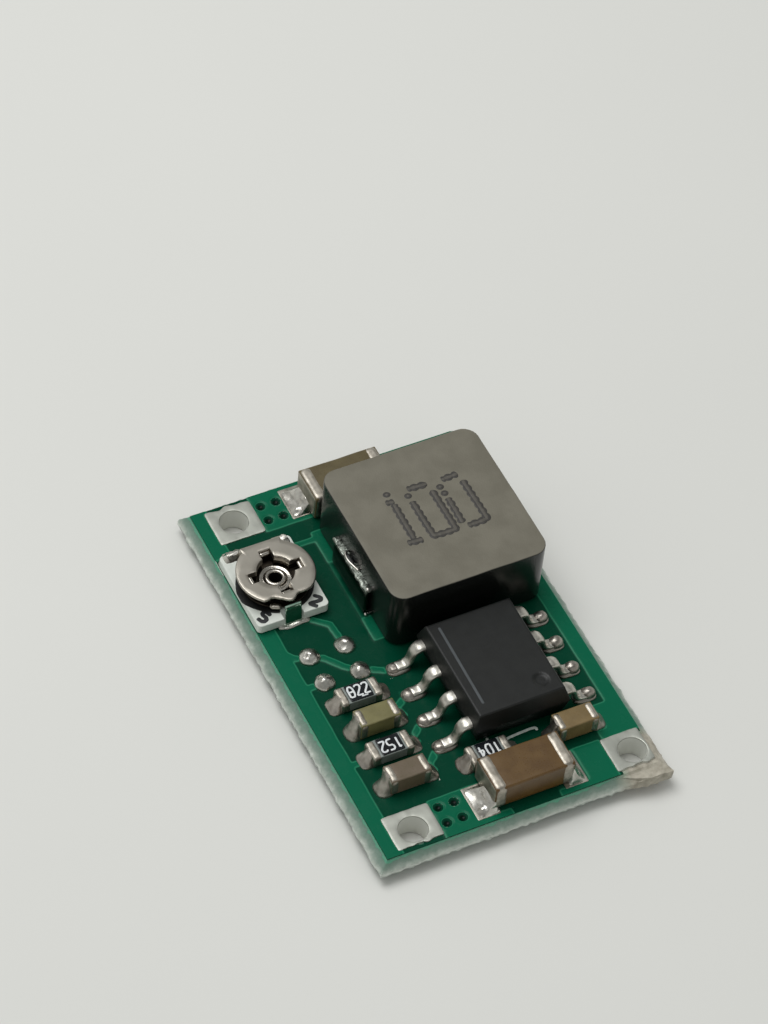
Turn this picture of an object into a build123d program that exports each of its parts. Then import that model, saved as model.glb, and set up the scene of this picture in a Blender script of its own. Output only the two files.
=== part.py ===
from build123d import *
import os
from math import atan2, cos, degrees, hypot, pi, radians, sin, sqrt

# Miniature step-down converter board, in millimetres.
# The origin is under the middle of the board, +Z up, +Y along the board's length.
# The input end is at -Y, the output end at +Y, the minus side at -X, the plus side at +X.

# Board laminate, with the ridge that snapping a scored panel leaves round it
board_thickness = 1.0
ridge_side = 0.35
ridge_end = 0.28
score_depth = 0.34
remnant_reach = 0.50
remnant_width = 1.70
remnant_lip = 0.06
remnant_root = 0.30
remnant_slope = 0.32

# Foil and solder mask on both faces
copper_thickness = 0.04
mask_thickness = 0.03
mask_rim = 0.03
track_width = 0.18
pour_left_width = 0.63
pour_right_width = 0.55
pour_chip_inset = 1.00
pour_coil_inset = 0.65
pour_clearance = 0.30
pour_setback = 0.25

# Wire holes at the four corners, with their plated lands
wire_hole_radius = 0.55
plating_thickness = 0.05
barrel_sides = 24
left_hole_inset = 1.41
right_hole_inset = 0.69
near_hole_inset = 0.80
far_hole_inset = 0.90
left_land_left = 0.91
left_land_right = 0.96
right_land_left = 0.94
right_land_right = 0.52
land_inner = 0.86
near_land_outer = 0.54
far_land_outer = 0.76
land_ripple = 0.07
land_wave = [(0.75, -0.4), (0.50, 1.0), (0.25, -0.8)]
land_ring = 0.02
land_margin = 0.10

# Vias that stitch the minus pours together
via_radius = 0.17
via_wall = 0.03
via_sides = 8
via_pitch_x = 0.63
via_pitch_y = 0.72
via_group_shift = 1.56
via_group_inset = 0.95

# Moulded power inductor
inductor_size = 6.36
inductor_height = 2.80
inductor_standoff = 0.06
inductor_corner = 0.80
inductor_top_round = 0.14
terminal_width = 2.70
terminal_thickness = 0.16
terminal_proud = 0.12
terminal_exit_z = 1.28
terminal_foot = 1.75
terminal_root = 0.60
terminal_bend = 0.12
recess_gap = 0.03
coil_outer_radius = 2.30
coil_inner_radius = 1.40
coil_height = 1.30
coil_low = 0.85
wire_radius = 0.17
wire_end_proud = 0.22
wire_flat = 0.04

# Eight-lead regulator
regulator_width = 3.90
regulator_length = 4.90
regulator_top = 1.55
regulator_standoff = 0.10
regulator_draft = 0.20
regulator_edge_round = 0.07
lead_count_a_side = 4
lead_pitch = 1.27
lead_width = 0.42
lead_thickness = 0.20
lead_parting = 0.90
lead_root = 0.30
lead_shoulder = 0.32
lead_toe = 1.05
lead_foot = 0.55
lead_bend = 0.16
dimple_radius = 0.28
dimple_depth = 0.05
dimple_inset = 0.86
heel_margin = 0.05

# Chip parts: length, width, height, end wrap and land
big_chip = {"length": 3.20, "width": 1.60, "height": 1.12, "wrap": 0.52, "edge": 0.14}
big_chip |= {"land_reach": 0.64, "land_under": 0.70, "land_inset": 0.10}
small_chip = {"length": 1.60, "width": 0.80, "height": 0.78, "wrap": 0.34, "edge": 0.06}
small_chip |= {"land_reach": 0.38, "land_under": 0.40, "land_inset": -0.03}
flat_chip = {"length": 1.60, "width": 0.80, "height": 0.46, "wrap": 0.32, "edge": 0.03}
flat_chip |= {"land_reach": 0.38, "land_under": 0.40, "land_inset": -0.03}
end_thickness = 0.03
bevel_growth = 2 - sqrt(2)
glaze_thickness = 0.04
glaze_inset = 0.03
big_land_shift = 0.26

# Open-frame trimmer
base_width = 2.90
base_length = 3.60
base_shift_y = 0.09
base_thickness = 0.40
base_corner = 0.18
base_notch_width = 0.80
base_notch_depth = 0.45
base_bore_gap = 0.02
strip_thickness = 0.06
strip_width = 0.66
strip_tab_thickness = 0.08
strip_tab_foot = 0.04
wiper_land_width = 1.36
wiper_land_length = 0.70
film_inner_radius = 0.92
film_outer_radius = 1.34
film_thickness = 0.015
film_gap_angle = 74.0
film_notch_gap = 0.03
clip_width = 0.72
clip_length = 0.52
clip_top_length = 0.28
clip_thickness = 0.04
end_land_reach = 0.22
rivet_hole_radius = 0.21
rivet_radius = 0.30
rivet_flange_radius = 0.59
rivet_flange_thickness = 0.07
rivet_flange_bevel = 0.04
rotor_radius = 1.50
rotor_running_gap = 0.04
rotor_lower_thickness = 0.08
rotor_upper_thickness = 0.12
rotor_rise = 1.15
rotor_flat = 1.46
rotor_flat_half = 0.82
rotor_well_radius = 0.66
rotor_arm_reach = 0.98
rotor_arm_width = 0.44
rotor_notch_angle = 26.0
rotor_notch_radius = 0.24
rotor_lower_radius = 1.42
rotor_bore_gap = 0.06
rotor_fold_round = 0.05
spring_slot_inner_radius = 0.72
spring_slot_outer_radius = 0.84
spring_slot_angle = 25.0
spring_slot_half_angle = 18.0
wiper_bump_radius = 0.10
wiper_bump_gap = 0.015

# Solder
dome_radius = 0.40
dome_height = 0.27
dome_sides = 12
dome_shares = [1.0, 0.85, 0.5, 0.2]
toe_reach = 0.34
climb_small = 0.55
climb_big = 0.60
joint_width_share = 0.86
joint_setback = 0.02
joint_hollow = 0.35

# Clearances between neighbours, which the board's outline follows
base_overhang = 0.01
middle_gap = 1.08
inductor_side_gap = 0.11
near_end_gap = 0.37
far_end_gap = 0.34
near_row_gap = 0.11
regulator_near_gap = 0.12
regulator_far_gap = 0.33
regulator_side_gap = 0.71
column_gap = 0.25
inductor_far_gap = 0.29

# Insets from the board's left edge and shifts from a neighbour's middle
left_column_inset = 2.10
upper_shift = 0.08
input_shift = 1.38
output_shift = 1.56
trimmer_shift = 1.03
resistor_104_shift = 1.65
boost_shift = 1.80
boost_drop = 0.09
resistor_822_rise = 1.21
upper_drop = 0.12
resistor_152_drop = 1.40
lower_drop = 2.77
dome_rise_far = 3.64
dome_rise_near = 2.35
dome_right = 0.65
dome_left = 0.80

# Board outline and the places along it, worked out from the parts that stand on it
inductor_width = inductor_size + 2 * (terminal_proud + terminal_thickness)
big_half = big_chip["width"] / 2 + end_thickness
flat_half = flat_chip["width"] / 2 + end_thickness
toe_half = regulator_width / 2 + lead_toe + toe_reach
column_half = small_chip["length"] / 2 + small_chip["land_reach"] + upper_shift
trimmer_row = base_width - base_overhang + middle_gap + inductor_width + inductor_side_gap
regulator_row = left_column_inset + column_half + column_gap + 2 * toe_half + regulator_side_gap
board_width = max(trimmer_row, regulator_row)
half_width = board_width / 2
near_row = near_row_gap + 2 * flat_half + regulator_near_gap
near_group = near_end_gap + 2 * big_half + near_row + regulator_length
far_group = regulator_far_gap + inductor_size + inductor_far_gap + 2 * big_half + far_end_gap
board_length = near_group + far_group
half_length = board_length / 2
inductor_x = half_width - inductor_side_gap - inductor_width / 2
regulator_x = half_width - regulator_side_gap - toe_half
regulator_y = -half_length + near_group - regulator_length / 2
inductor_y = regulator_y + regulator_length / 2 + regulator_far_gap + inductor_size / 2
left_hole_x = -half_width + left_hole_inset
right_hole_x = half_width - right_hole_inset
near_hole_y = -half_length + near_hole_inset
far_hole_y = half_length - far_hole_inset
via_group_x = left_hole_x + via_group_shift
via_group_y = half_length - via_group_inset
rotor_x = -half_width - base_overhang + base_width / 2
rotor_y = inductor_y + trimmer_shift

# Places of the chip parts and of the domed test lands
near_row_y = regulator_y - regulator_length / 2 - regulator_near_gap - flat_half
left_column_x = -half_width + left_column_inset
input_capacitor = (inductor_x - input_shift, -half_length + near_end_gap + big_half)
output_capacitor = (inductor_x - output_shift, half_length - far_end_gap - big_half)
resistor_104 = (regulator_x - resistor_104_shift, near_row_y)
boost_capacitor = (regulator_x + boost_shift, near_row_y - boost_drop)
resistor_822 = (left_column_x, regulator_y + resistor_822_rise)
upper_capacitor = (left_column_x + upper_shift, regulator_y - upper_drop)
resistor_152 = (left_column_x, regulator_y - resistor_152_drop)
lower_capacitor = (left_column_x, regulator_y - lower_drop)
dome_places = [
    (left_column_x + dome_right, regulator_y + dome_rise_far),
    (left_column_x - dome_left, regulator_y + dome_rise_far),
    (left_column_x + dome_right, regulator_y + dome_rise_near),
    (left_column_x - dome_left, regulator_y + dome_rise_near),
]

# Levels that follow from the sizes above
laminate_bottom = copper_thickness + mask_thickness
laminate_top = board_thickness - laminate_bottom
copper_top = board_thickness - mask_thickness
copper_bottom = mask_thickness
base_low = board_thickness + strip_thickness
base_high = base_low + base_thickness
rotor_low = base_high + clip_thickness + rotor_running_gap
flange_low = rotor_low + rotor_lower_thickness + rotor_running_gap / 2


# Small helpers
def block(x0, x1, y0, y1, z0, z1):
    """Box between two opposite corners."""
    centre = Pos((x0 + x1) / 2, (y0 + y1) / 2, (z0 + z1) / 2)
    return centre * Box(x1 - x0, y1 - y0, z1 - z0)


def rectangle(x0, x1, y0, y1):
    """Flat rectangle between two opposite corners."""
    return Pos((x0 + x1) / 2, (y0 + y1) / 2) * Rectangle(x1 - x0, y1 - y0)


def disc(x, y, radius):
    """Flat disc."""
    return Pos(x, y) * Circle(radius)


def via(x, y, radius):
    """Flat outline of a via, with few sides because it is so small."""
    return Pos(x, y) * RegularPolygon(radius, via_sides)


def slab(sketch, z0, z1):
    """Flat outline carried from one height to another."""
    return Pos(0, 0, z0) * extrude(sketch, amount=z1 - z0, dir=(0, 0, 1))


def outline(points):
    """Closed flat outline through the points."""
    return make_face(Polyline(*points, close=True))


def joined(shapes):
    """One shape from several that touch or overlap."""
    total = shapes[0]
    for shape in shapes[1:]:
        total = total + shape
    return total


def eased_block(length, width, height, edge, low):
    """Box that starts at a height, with every edge eased by a bevel."""
    body = Pos(0, 0, low + height / 2) * Box(length, width, height)
    return chamfer(body.edges(), edge)


def save(name, solids):
    """One node: a single solid, or a group of separate ones."""
    if isinstance(solids, list):
        solids = Compound(children=solids)
    export_step(solids, f"parts/{name}.step")


# Outlines on the board
def corner_signs():
    """Name, x and y sign of each wire hole."""
    return [("input_minus", -1, -1), ("input_plus", 1, -1), ("output_minus", -1, 1), ("output_plus", 1, 1)]


def hole_centre(side, end):
    """Centre of a corner's wire hole."""
    x = left_hole_x if side < 0 else right_hole_x
    y = near_hole_y if end < 0 else far_hole_y
    return x, y


def barrel_outline(side, end, margin=0.0):
    """Outside of a wire hole's plating: many flats, none nearer the hole than the plating is thick."""
    corner_radius = (wire_hole_radius + plating_thickness + margin) / cos(pi / barrel_sides)
    return Pos(*hole_centre(side, end)) * RegularPolygon(corner_radius, barrel_sides)


def land_outline(side, end):
    """Corner land: straight on three sides, rippled where the tin ran towards the snapped end."""
    x, y = hole_centre(side, end)
    left = x - (left_land_left if side < 0 else right_land_left)
    right = x + (left_land_right if side < 0 else right_land_right)
    inner = y - end * land_inner
    outer = y + end * (near_land_outer if end < 0 else far_land_outer)
    span = right - left
    ripple = land_ripple if end < 0 else land_ripple / 4
    wave = [(left + share * span, outer + end * ripple * depth) for share, depth in land_wave]
    wave = [(right, outer)] + wave + [(left, outer)]
    sides = Polyline((left, outer), (left, inner), (right, inner), (right, outer))
    land = make_face(sides + Spline(*wave))
    return land + barrel_outline(side, end, land_ring)


def via_places():
    """Eight via centres, four beside each minus land."""
    places = []
    for end in (-1, 1):
        for step_x in (-0.5, 0.5):
            for step_y in (-0.5, 0.5):
                x = via_group_x + step_x * via_pitch_x
                y = end * via_group_y + step_y * via_pitch_y
                places.append((x, y))
    return places


def chip_lands(kind, place, shift=0.0):
    """Pair of lands under a chip part that lies along X."""
    x, y = place
    half = kind["width"] / 2 - kind["land_inset"]
    lands = []
    for side in (-1, 1):
        x0 = x + side * (kind["length"] / 2 - kind["land_under"])
        x1 = x + side * (kind["length"] / 2 + kind["land_reach"])
        lands.append(rectangle(min(x0, x1), max(x0, x1), y + shift - half, y + shift + half))
    return lands


def big_lands(place, end):
    """Lands of a large capacitor, set a little towards the board's end."""
    return chip_lands(big_chip, place, end * big_land_shift)


def land_end(kind, place, side):
    """Middle of the outer edge of a chip part's land."""
    return place[0] + side * (kind["length"] / 2 + kind["land_reach"]), place[1]


def beside(place, dx, dy):
    """Point a little way off another one."""
    return place[0] + dx, place[1] + dy


def lead_rows():
    """Number, side and y of each regulator lead, counted up the dimple's side and down the other."""
    rows = []
    for side in (1, -1):
        for index in range(lead_count_a_side):
            step = side * (index - (lead_count_a_side - 1) / 2)
            rows.append((len(rows) + 1, side, regulator_y + step * lead_pitch))
    return rows


def lead_land(side, y):
    """Land under one regulator lead."""
    toe = regulator_width / 2 + lead_toe
    half = lead_width / 2 + land_margin
    x0 = regulator_x + side * (toe - lead_foot - heel_margin)
    x1 = regulator_x + side * (toe + toe_reach)
    return rectangle(min(x0, x1), max(x0, x1), y - half, y + half)


def inductor_land(side):
    """Land under one inductor terminal."""
    outer = inductor_size / 2 + terminal_proud + terminal_thickness + land_margin
    x0 = inductor_x + side * (outer - terminal_foot - 2 * land_margin)
    x1 = inductor_x + side * outer
    half = terminal_width / 2 + land_margin
    return rectangle(min(x0, x1), max(x0, x1), inductor_y - half, inductor_y + half)


def base_edges():
    """Left, right, near and far edges of the trimmer's ceramic base."""
    y = rotor_y + base_shift_y
    return rotor_x - base_width / 2, rotor_x + base_width / 2, y - base_length / 2, y + base_length / 2


def trimmer_lands():
    """Wiper land at the near edge and the two end lands at the far corners."""
    left, right, near, far = base_edges()
    half = wiper_land_width / 2
    outer = near - land_margin
    wiper = rectangle(rotor_x - half, rotor_x + half, outer, outer + wiper_land_length)
    ends = []
    for x0, x1 in ((left, left + clip_width), (right - clip_width, right)):
        ends.append(rectangle(x0, x1, far - clip_length, far + end_land_reach))
    return [wiper] + ends


def track(points, width):
    """Narrow track: a strip for each straight run, a little longer than the run so that the turns join."""
    strips = []
    for (x0, y0), (x1, y1) in zip(points, points[1:]):
        length = hypot(x1 - x0, y1 - y0) + width / 2
        turn = degrees(atan2(y1 - y0, x1 - x0))
        strips.append(Pos((x0 + x1) / 2, (y0 + y1) / 2) * Rot(0, 0, turn) * Rectangle(length, width))
    return joined(strips)


def via_holes():
    """All via openings as one flat set of discs."""
    return joined([via(x, y, via_radius) for x, y in via_places()])


def component_lands():
    """Every bare land, in one list."""
    lands = []
    for place in (upper_capacitor, lower_capacitor, boost_capacitor):
        lands += chip_lands(small_chip, place)
    for place in (resistor_822, resistor_152, resistor_104):
        lands += chip_lands(flat_chip, place)
    lands += big_lands(input_capacitor, -1)
    lands += big_lands(output_capacitor, 1)
    lands += [lead_land(side, y) for number, side, y in lead_rows()]
    lands += [inductor_land(side) for side in (-1, 1)]
    lands += trimmer_lands()
    lands += [Pos(x, y) * RegularPolygon(dome_radius, dome_sides) for x, y in dome_places]
    return lands


def strip_edge(end):
    """Inner edge of the pours that join the lands at one end of the board."""
    return hole_centre(-1, end)[1] - end * land_inner


def covered_copper(grow):
    """Pours and tracks that lie under the top mask, grown on every side by a margin."""
    left_strip = -half_width + pour_left_width
    right_strip = half_width - pour_right_width
    minus_left = left_hole_x + left_land_right
    plus_left = right_hole_x - right_land_left
    base_left, base_right, base_near, base_far = base_edges()
    coil_half = inductor_size / 2
    coil_left = inductor_x - coil_half - terminal_proud - terminal_thickness - land_margin
    coil_near = inductor_y - coil_half + pour_coil_inset
    first_dome, second_dome, third_dome, fourth_dome = dome_places
    left_leads = [y for number, side, y in lead_rows() if side < 0]
    left_toe = regulator_x - regulator_width / 2 - lead_toe - toe_reach / 2
    regulator_near = regulator_y - regulator_length / 2
    end_clip_y = base_far - clip_length / 2
    pours = [
        (-half_width, left_strip, -half_length, half_length),
        (minus_left, input_capacitor[0] - pour_chip_inset, -half_length, strip_edge(-1)),
        (minus_left, output_capacitor[0] - pour_chip_inset, strip_edge(1), half_length),
        (input_capacitor[0] + pour_chip_inset, plus_left, -half_length, strip_edge(-1)),
        (plus_left + track_width, half_width, strip_edge(-1), regulator_near),
        (right_strip, half_width, strip_edge(-1), half_length),
        (coil_left, inductor_x - pour_chip_inset, coil_near, end_clip_y + pour_clearance),
        (inductor_x + pour_chip_inset, half_width, coil_near, half_length),
        (output_capacitor[0] + pour_chip_inset, half_width, strip_edge(1), half_length),
    ]
    wiper_edge = rotor_x + wiper_land_width / 2 - land_margin
    upper_end = land_end(small_chip, upper_capacitor, 1)
    lower_end = land_end(small_chip, lower_capacitor, 1)
    end_152 = land_end(flat_chip, resistor_152, 1)
    tracks = [
        [(wiper_edge, base_near), beside(first_dome, -0.10, 1.09), first_dome],
        [beside(second_dome, -0.93, 0.70), beside(second_dome, -0.53, 0.15), second_dome],
        [second_dome, beside(second_dome, 0.47, -0.23), beside(third_dome, -0.47, 0.42), third_dome],
        [third_dome, beside(third_dome, 0.43, -0.12), (left_toe, left_leads[0])],
        [fourth_dome, (left_strip - track_width, fourth_dome[1])],
        [(left_toe, left_leads[1]), beside(upper_end, -0.13, 0.43), upper_end],
        [(left_toe, left_leads[2]), beside(end_152, -0.13, 0.23), end_152],
        [(left_toe, left_leads[3]), beside(lower_end, -0.08, 0.30), lower_end],
        [(left_strip - track_width, resistor_152[1]), land_end(flat_chip, resistor_152, -1)],
        [(base_right - track_width, end_clip_y), (coil_left + track_width, end_clip_y)],
    ]
    shapes = [rectangle(x0 - grow, x1 + grow, y0 - grow, y1 + grow) for x0, x1, y0, y1 in pours]
    shapes += [track(points, track_width + 2 * grow) for points in tracks]
    return joined(shapes)


# Board
def board_layers():
    """Laminate, both masks, both foils, plated vias and the four plated wire lands."""
    board = rectangle(-half_width, half_width, -half_length, half_length)
    vias = via_holes()
    via_drill = joined([via(x, y, via_radius + via_wall) for x, y in via_places()])
    corners = corner_signs()
    wire_lands = joined([land_outline(side, end) for name, side, end in corners])
    barrels = joined([barrel_outline(side, end) for name, side, end in corners])
    bare_corner = rectangle(
        right_hole_x - right_land_left, half_width, -half_length, near_hole_y + land_inner
    )

    # The laminate is scored from both faces and snapped, so its middle stands out as a ridge
    ridge_low = laminate_bottom + score_depth
    ridge_high = laminate_top - score_depth
    side_profile = outline([
        (-half_width, laminate_bottom), (-half_width - ridge_side, ridge_low),
        (-half_width - ridge_side, ridge_high), (-half_width, laminate_top),
        (half_width, laminate_top), (half_width + ridge_side, ridge_high),
        (half_width + ridge_side, ridge_low), (half_width, laminate_bottom),
    ])
    end_profile = outline([
        (-half_length, laminate_bottom), (-half_length - ridge_end, ridge_low),
        (-half_length - ridge_end, ridge_high), (-half_length, laminate_top),
        (half_length, laminate_top), (half_length + ridge_end, ridge_high),
        (half_length + ridge_end, ridge_low), (half_length, laminate_bottom),
    ])
    reach = board_length + board_width
    across = extrude(Plane.XZ * side_profile, amount=reach, both=True)
    along = extrude(Plane.YZ * end_profile, amount=reach, both=True)
    laminate = across & along

    # Where the panel's web tore, part of it stays on the plus side of both ends
    for end in (-1, 1):
        edge = end * half_length
        tip = edge + end * remnant_reach
        root = edge - end * remnant_root
        start = half_width - remnant_width
        web = outline([
            (half_width, root), (start, root), (start, edge),
            (start + remnant_slope * remnant_width, edge + end * ridge_end),
            (start + 2 * remnant_slope * remnant_width, tip), (half_width, tip),
        ])
        laminate = laminate + slab(web, ridge_low, laminate_top - remnant_lip)
    laminate = laminate - slab(via_drill, 0, board_thickness)
    laminate = laminate - slab(barrels, 0, board_thickness)
    save("circuit_board", laminate)

    # Top foil, its mask and the openings over the lands
    lands = joined(component_lands())
    covered = (covered_copper(0) & board) - wire_lands
    top_copper = (covered + lands) - wire_lands - via_drill
    save("copper_top", slab(top_copper, laminate_top, copper_top).solids())
    low_mask = board - (covered + lands) - wire_lands - bare_corner - vias
    rim = covered_copper(mask_rim) & board
    high_mask = rim - lands - wire_lands - bare_corner - vias
    mask = slab(low_mask, laminate_top, copper_top) + slab(high_mask, copper_top, board_thickness)
    mask = mask - slab(via_drill, laminate_top, copper_top)
    save("solder_mask_top", mask.solids())

    # Bottom foil is one minus pour that keeps clear of the plus lands
    keep_clear = []
    for end in (-1, 1):
        left = right_hole_x - right_land_left - pour_clearance
        inner = hole_centre(1, end)[1] - end * (land_inner + pour_clearance)
        edge = end * half_length
        keep_clear.append(rectangle(left, half_width, min(inner, edge), max(inner, edge)))
    pour = Rectangle(board_width - 2 * pour_setback, board_length - 2 * pour_setback)
    pour = pour - joined(keep_clear) - wire_lands - via_drill
    save("copper_bottom", slab(pour, copper_bottom, laminate_bottom).solids())
    under = slab(board - wire_lands - vias, 0, laminate_bottom)
    under = under - slab(pour + via_drill, copper_bottom, laminate_bottom)
    save("solder_mask_bottom", under.solids())

    # Plated holes
    tubes = []
    for x, y in via_places():
        ring = via(x, y, via_radius + via_wall) - via(x, y, via_radius)
        tubes.append(slab(ring, copper_bottom, copper_top))
    save("plated_vias", tubes)
    for name, side, end in corners:
        x, y = hole_centre(side, end)
        land = land_outline(side, end) & board
        bore = disc(x, y, wire_hole_radius)
        barrel = barrel_outline(side, end)
        solid = slab(land - bore, laminate_top, board_thickness)
        solid = solid + slab(land - bore, 0, laminate_bottom)
        solid = solid + slab(barrel - bore, 0, board_thickness)
        save(f"wire_land_{name}", solid)


# Inductor
def bent_strip(points, bend, thickness, width):
    """Sheet strip that follows an X-Z path with rounded bends."""
    path = FilletPolyline(*points, radius=bend)
    flat = trace(path, line_width=thickness)
    return extrude(Plane.XZ * flat, amount=width / 2, both=True)


def inductor():
    """Moulded body, the coil inside it and the two terminals folded under it."""
    place = Pos(inductor_x, inductor_y, board_thickness)
    half = inductor_size / 2
    outside = half + terminal_proud + terminal_thickness / 2
    terminals = {}
    for name, side in (("left", -1), ("right", 1)):
        points = [
            (side * (half - terminal_root), terminal_exit_z),
            (side * outside, terminal_exit_z),
            (side * outside, terminal_thickness / 2),
            (side * (outside + terminal_thickness / 2 - terminal_foot), terminal_thickness / 2),
        ]
        terminals[name] = bent_strip(points, terminal_bend, terminal_thickness, terminal_width)

    # Flat coil with one wire end lying on each terminal
    section = Pos((coil_outer_radius + coil_inner_radius) / 2, coil_low + coil_height / 2)
    section = section * Rectangle(coil_outer_radius - coil_inner_radius, coil_height)
    coil = revolve(Plane.XZ * section, axis=Axis.Z)
    wire_z = terminal_exit_z + terminal_thickness / 2 + wire_radius - wire_flat
    wire_start = (coil_inner_radius + coil_outer_radius) / 2
    wire_length = half + wire_end_proud - wire_start
    wire = Rot(0, 90, 0) * Cylinder(wire_radius, wire_length, align=(Align.CENTER, Align.CENTER, Align.MIN))
    for turn in (0, 180):
        coil = coil + Rot(0, 0, turn) * Pos(wire_start, 0, wire_z) * wire
    coil = coil - terminals["left"] - terminals["right"]

    # Body with a recess under it for each terminal's foot
    core = Rectangle(inductor_size, inductor_size)
    core = fillet(core.vertices(), inductor_corner)
    body = extrude(core, amount=inductor_height - inductor_standoff)
    body = Pos(0, 0, inductor_standoff) * body
    body = fillet(body.faces().sort_by(Axis.Z)[-1].edges(), inductor_top_round)
    recess_top = terminal_thickness + recess_gap
    recess_half = terminal_width / 2 + recess_gap
    recess_in = outside + terminal_thickness / 2 - terminal_foot - recess_gap
    for side in (-1, 1):
        x0 = side * recess_in
        x1 = side * inductor_size
        body = body - block(min(x0, x1), max(x0, x1), -recess_half, recess_half, 0, recess_top)
    body = body - coil - terminals["left"] - terminals["right"]
    save("inductor_body", place * body)
    save("inductor_coil", place * coil)
    save("inductor_terminal_left", place * terminals["left"])
    save("inductor_terminal_right", place * terminals["right"])


# Regulator
def regulator():
    """Moulded body with draft on both halves and eight gull-wing leads."""
    place = Pos(regulator_x, regulator_y, board_thickness)
    half = regulator_width / 2
    middle = Rectangle(regulator_width, regulator_length)
    upper_height = regulator_top - lead_parting
    lower_height = lead_parting - regulator_standoff
    draft = degrees(atan2(regulator_draft, upper_height))
    upper = extrude(middle, amount=upper_height, taper=draft)
    upper = fillet(upper.faces().sort_by(Axis.Z)[-1].edges(), regulator_edge_round)
    lower = extrude(middle, amount=lower_height, taper=draft)
    body = Pos(0, 0, lead_parting) * (upper + Rot(180, 0, 0) * lower)
    dimple_x = half - dimple_inset
    dimple_y = -regulator_length / 2 + dimple_inset
    dimple = Pos(dimple_x, dimple_y, regulator_top) * Cylinder(dimple_radius, 2 * dimple_depth)
    body = body - dimple
    for number, side, y in lead_rows():
        points = [
            (side * (half - lead_root), lead_parting),
            (side * (half + lead_shoulder), lead_parting),
            (side * (half + lead_toe - lead_foot), lead_thickness / 2),
            (side * (half + lead_toe), lead_thickness / 2),
        ]
        lead = bent_strip(points, lead_bend, lead_thickness, lead_width)
        lead = Pos(0, y - regulator_y, 0) * lead
        body = body - lead
        save(f"regulator_lead_{number}", place * lead)
    save("regulator_body", place * body)


# Chip parts
def chip_core(kind):
    """Ceramic body of a chip part, a plating thickness above its ends' underside."""
    return eased_block(kind["length"], kind["width"], kind["height"], kind["edge"], end_thickness)


def chip_ends(kind):
    """Two plated ends round a chip's body."""
    growth = 2 * end_thickness
    edge = kind["edge"] + bevel_growth * end_thickness
    shell = eased_block(kind["length"] + growth, kind["width"] + growth, kind["height"] + growth, edge, 0)
    core = chip_core(kind)
    reach = kind["length"]
    inner = kind["length"] / 2 - kind["wrap"]
    ends = []
    for x0, x1 in ((-reach, -inner), (inner, reach)):
        ends.append((shell & block(x0, x1, -reach, reach, 0, reach)) - core)
    return ends


def capacitor(name, kind, where):
    """Ceramic chip capacitor: body and two ends."""
    place = Pos(where[0], where[1], board_thickness)
    save(f"{name}_body", place * chip_core(kind))
    save(f"{name}_ends", [place * end for end in chip_ends(kind)])


def resistor(name, kind, where):
    """Flat chip resistor: ceramic slab, two ends and the dark glaze between them."""
    place = Pos(where[0], where[1], board_thickness)
    glaze_length = kind["length"] - 2 * kind["wrap"] - 2 * glaze_inset
    glaze_width = kind["width"] - 2 * glaze_inset
    glaze = Box(glaze_length, glaze_width, glaze_thickness, align=(Align.CENTER, Align.CENTER, Align.MIN))
    glaze = Pos(0, 0, end_thickness + kind["height"]) * glaze
    save(f"{name}_ceramic", place * chip_core(kind))
    save(f"{name}_ends", [place * end for end in chip_ends(kind)])
    save(f"{name}_glaze", place * glaze)


# Trimmer
def ring_sector(inner, outer, start, stop):
    """Flat ring between two angles in degrees."""
    middle = (start + stop) / 2
    arc_points = []
    for radius, angles in ((outer, (start, middle, stop)), (inner, (stop, middle, start))):
        arc_points.append([(radius * cos(radians(a)), radius * sin(radians(a))) for a in angles])
    outer_arc = ThreePointArc(*arc_points[0])
    inner_arc = ThreePointArc(*arc_points[1])
    closing = Line(arc_points[0][2], arc_points[1][0]) + Line(arc_points[1][2], arc_points[0][0])
    return make_face(outer_arc + inner_arc + closing)


def trimmer_base():
    """Ceramic plate with a notch for the wiper's foot and the bore of its rivet."""
    left, right, near, far = base_edges()
    plate = rectangle(left, right, near, far)
    plate = fillet(plate.vertices(), base_corner)
    body = slab(plate, base_low, base_high)
    outside = near - land_margin
    foot = near + strip_tab_foot
    wedge = outline([
        (outside, base_low), (foot, base_low), (near + base_notch_depth, base_high), (outside, base_high),
    ])
    notch = Pos(rotor_x, 0, 0) * extrude(Plane.YZ * wedge, amount=base_notch_width / 2, both=True)
    bore = slab(disc(rotor_x, rotor_y, rivet_radius + base_bore_gap), base_low, base_high)
    save("trimmer_base", body - notch - bore)


def trimmer_track():
    """Horseshoe of resistive film on the base, with a leg towards each end clip."""
    left, right, near, far = base_edges()
    start = 90 + film_gap_angle / 2
    stop = 450 - film_gap_angle / 2
    film = ring_sector(film_inner_radius, film_outer_radius, start, stop)
    leg_low = film_outer_radius * sin(radians(start)) / 2
    leg_high = far - clip_top_length - rotor_y
    for side in (-1, 1):
        leg_x = side * (base_width / 2 - (base_corner + clip_width) / 2)
        leg_half = (clip_width - base_corner) / 2
        film = film + rectangle(leg_x - leg_half, leg_x + leg_half, leg_low, leg_high)
    film = Pos(rotor_x, rotor_y) * film
    half = base_notch_width / 2
    film = film - rectangle(rotor_x - half, rotor_x + half, near, near + base_notch_depth + film_notch_gap)
    save("trimmer_track", slab(film, base_high, base_high + film_thickness).solids())


def trimmer_end_clips():
    """Two plated clips folded round the base's far corners."""
    left, right, near, far = base_edges()
    outside = far + clip_thickness
    top = base_high + clip_thickness
    profile = outline([
        (far - clip_length, board_thickness), (outside, board_thickness), (outside, top),
        (far - clip_top_length, top), (far - clip_top_length, base_high), (far, base_high),
        (far, base_low), (far - clip_length, base_low),
    ])
    half = (clip_width - base_corner) / 2
    clip = extrude(Plane.YZ * profile, amount=half, both=True)
    clips = [Pos(left + base_corner + half, 0, 0) * clip, Pos(right - base_corner - half, 0, 0) * clip]
    save("trimmer_end_clips", clips)


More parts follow.
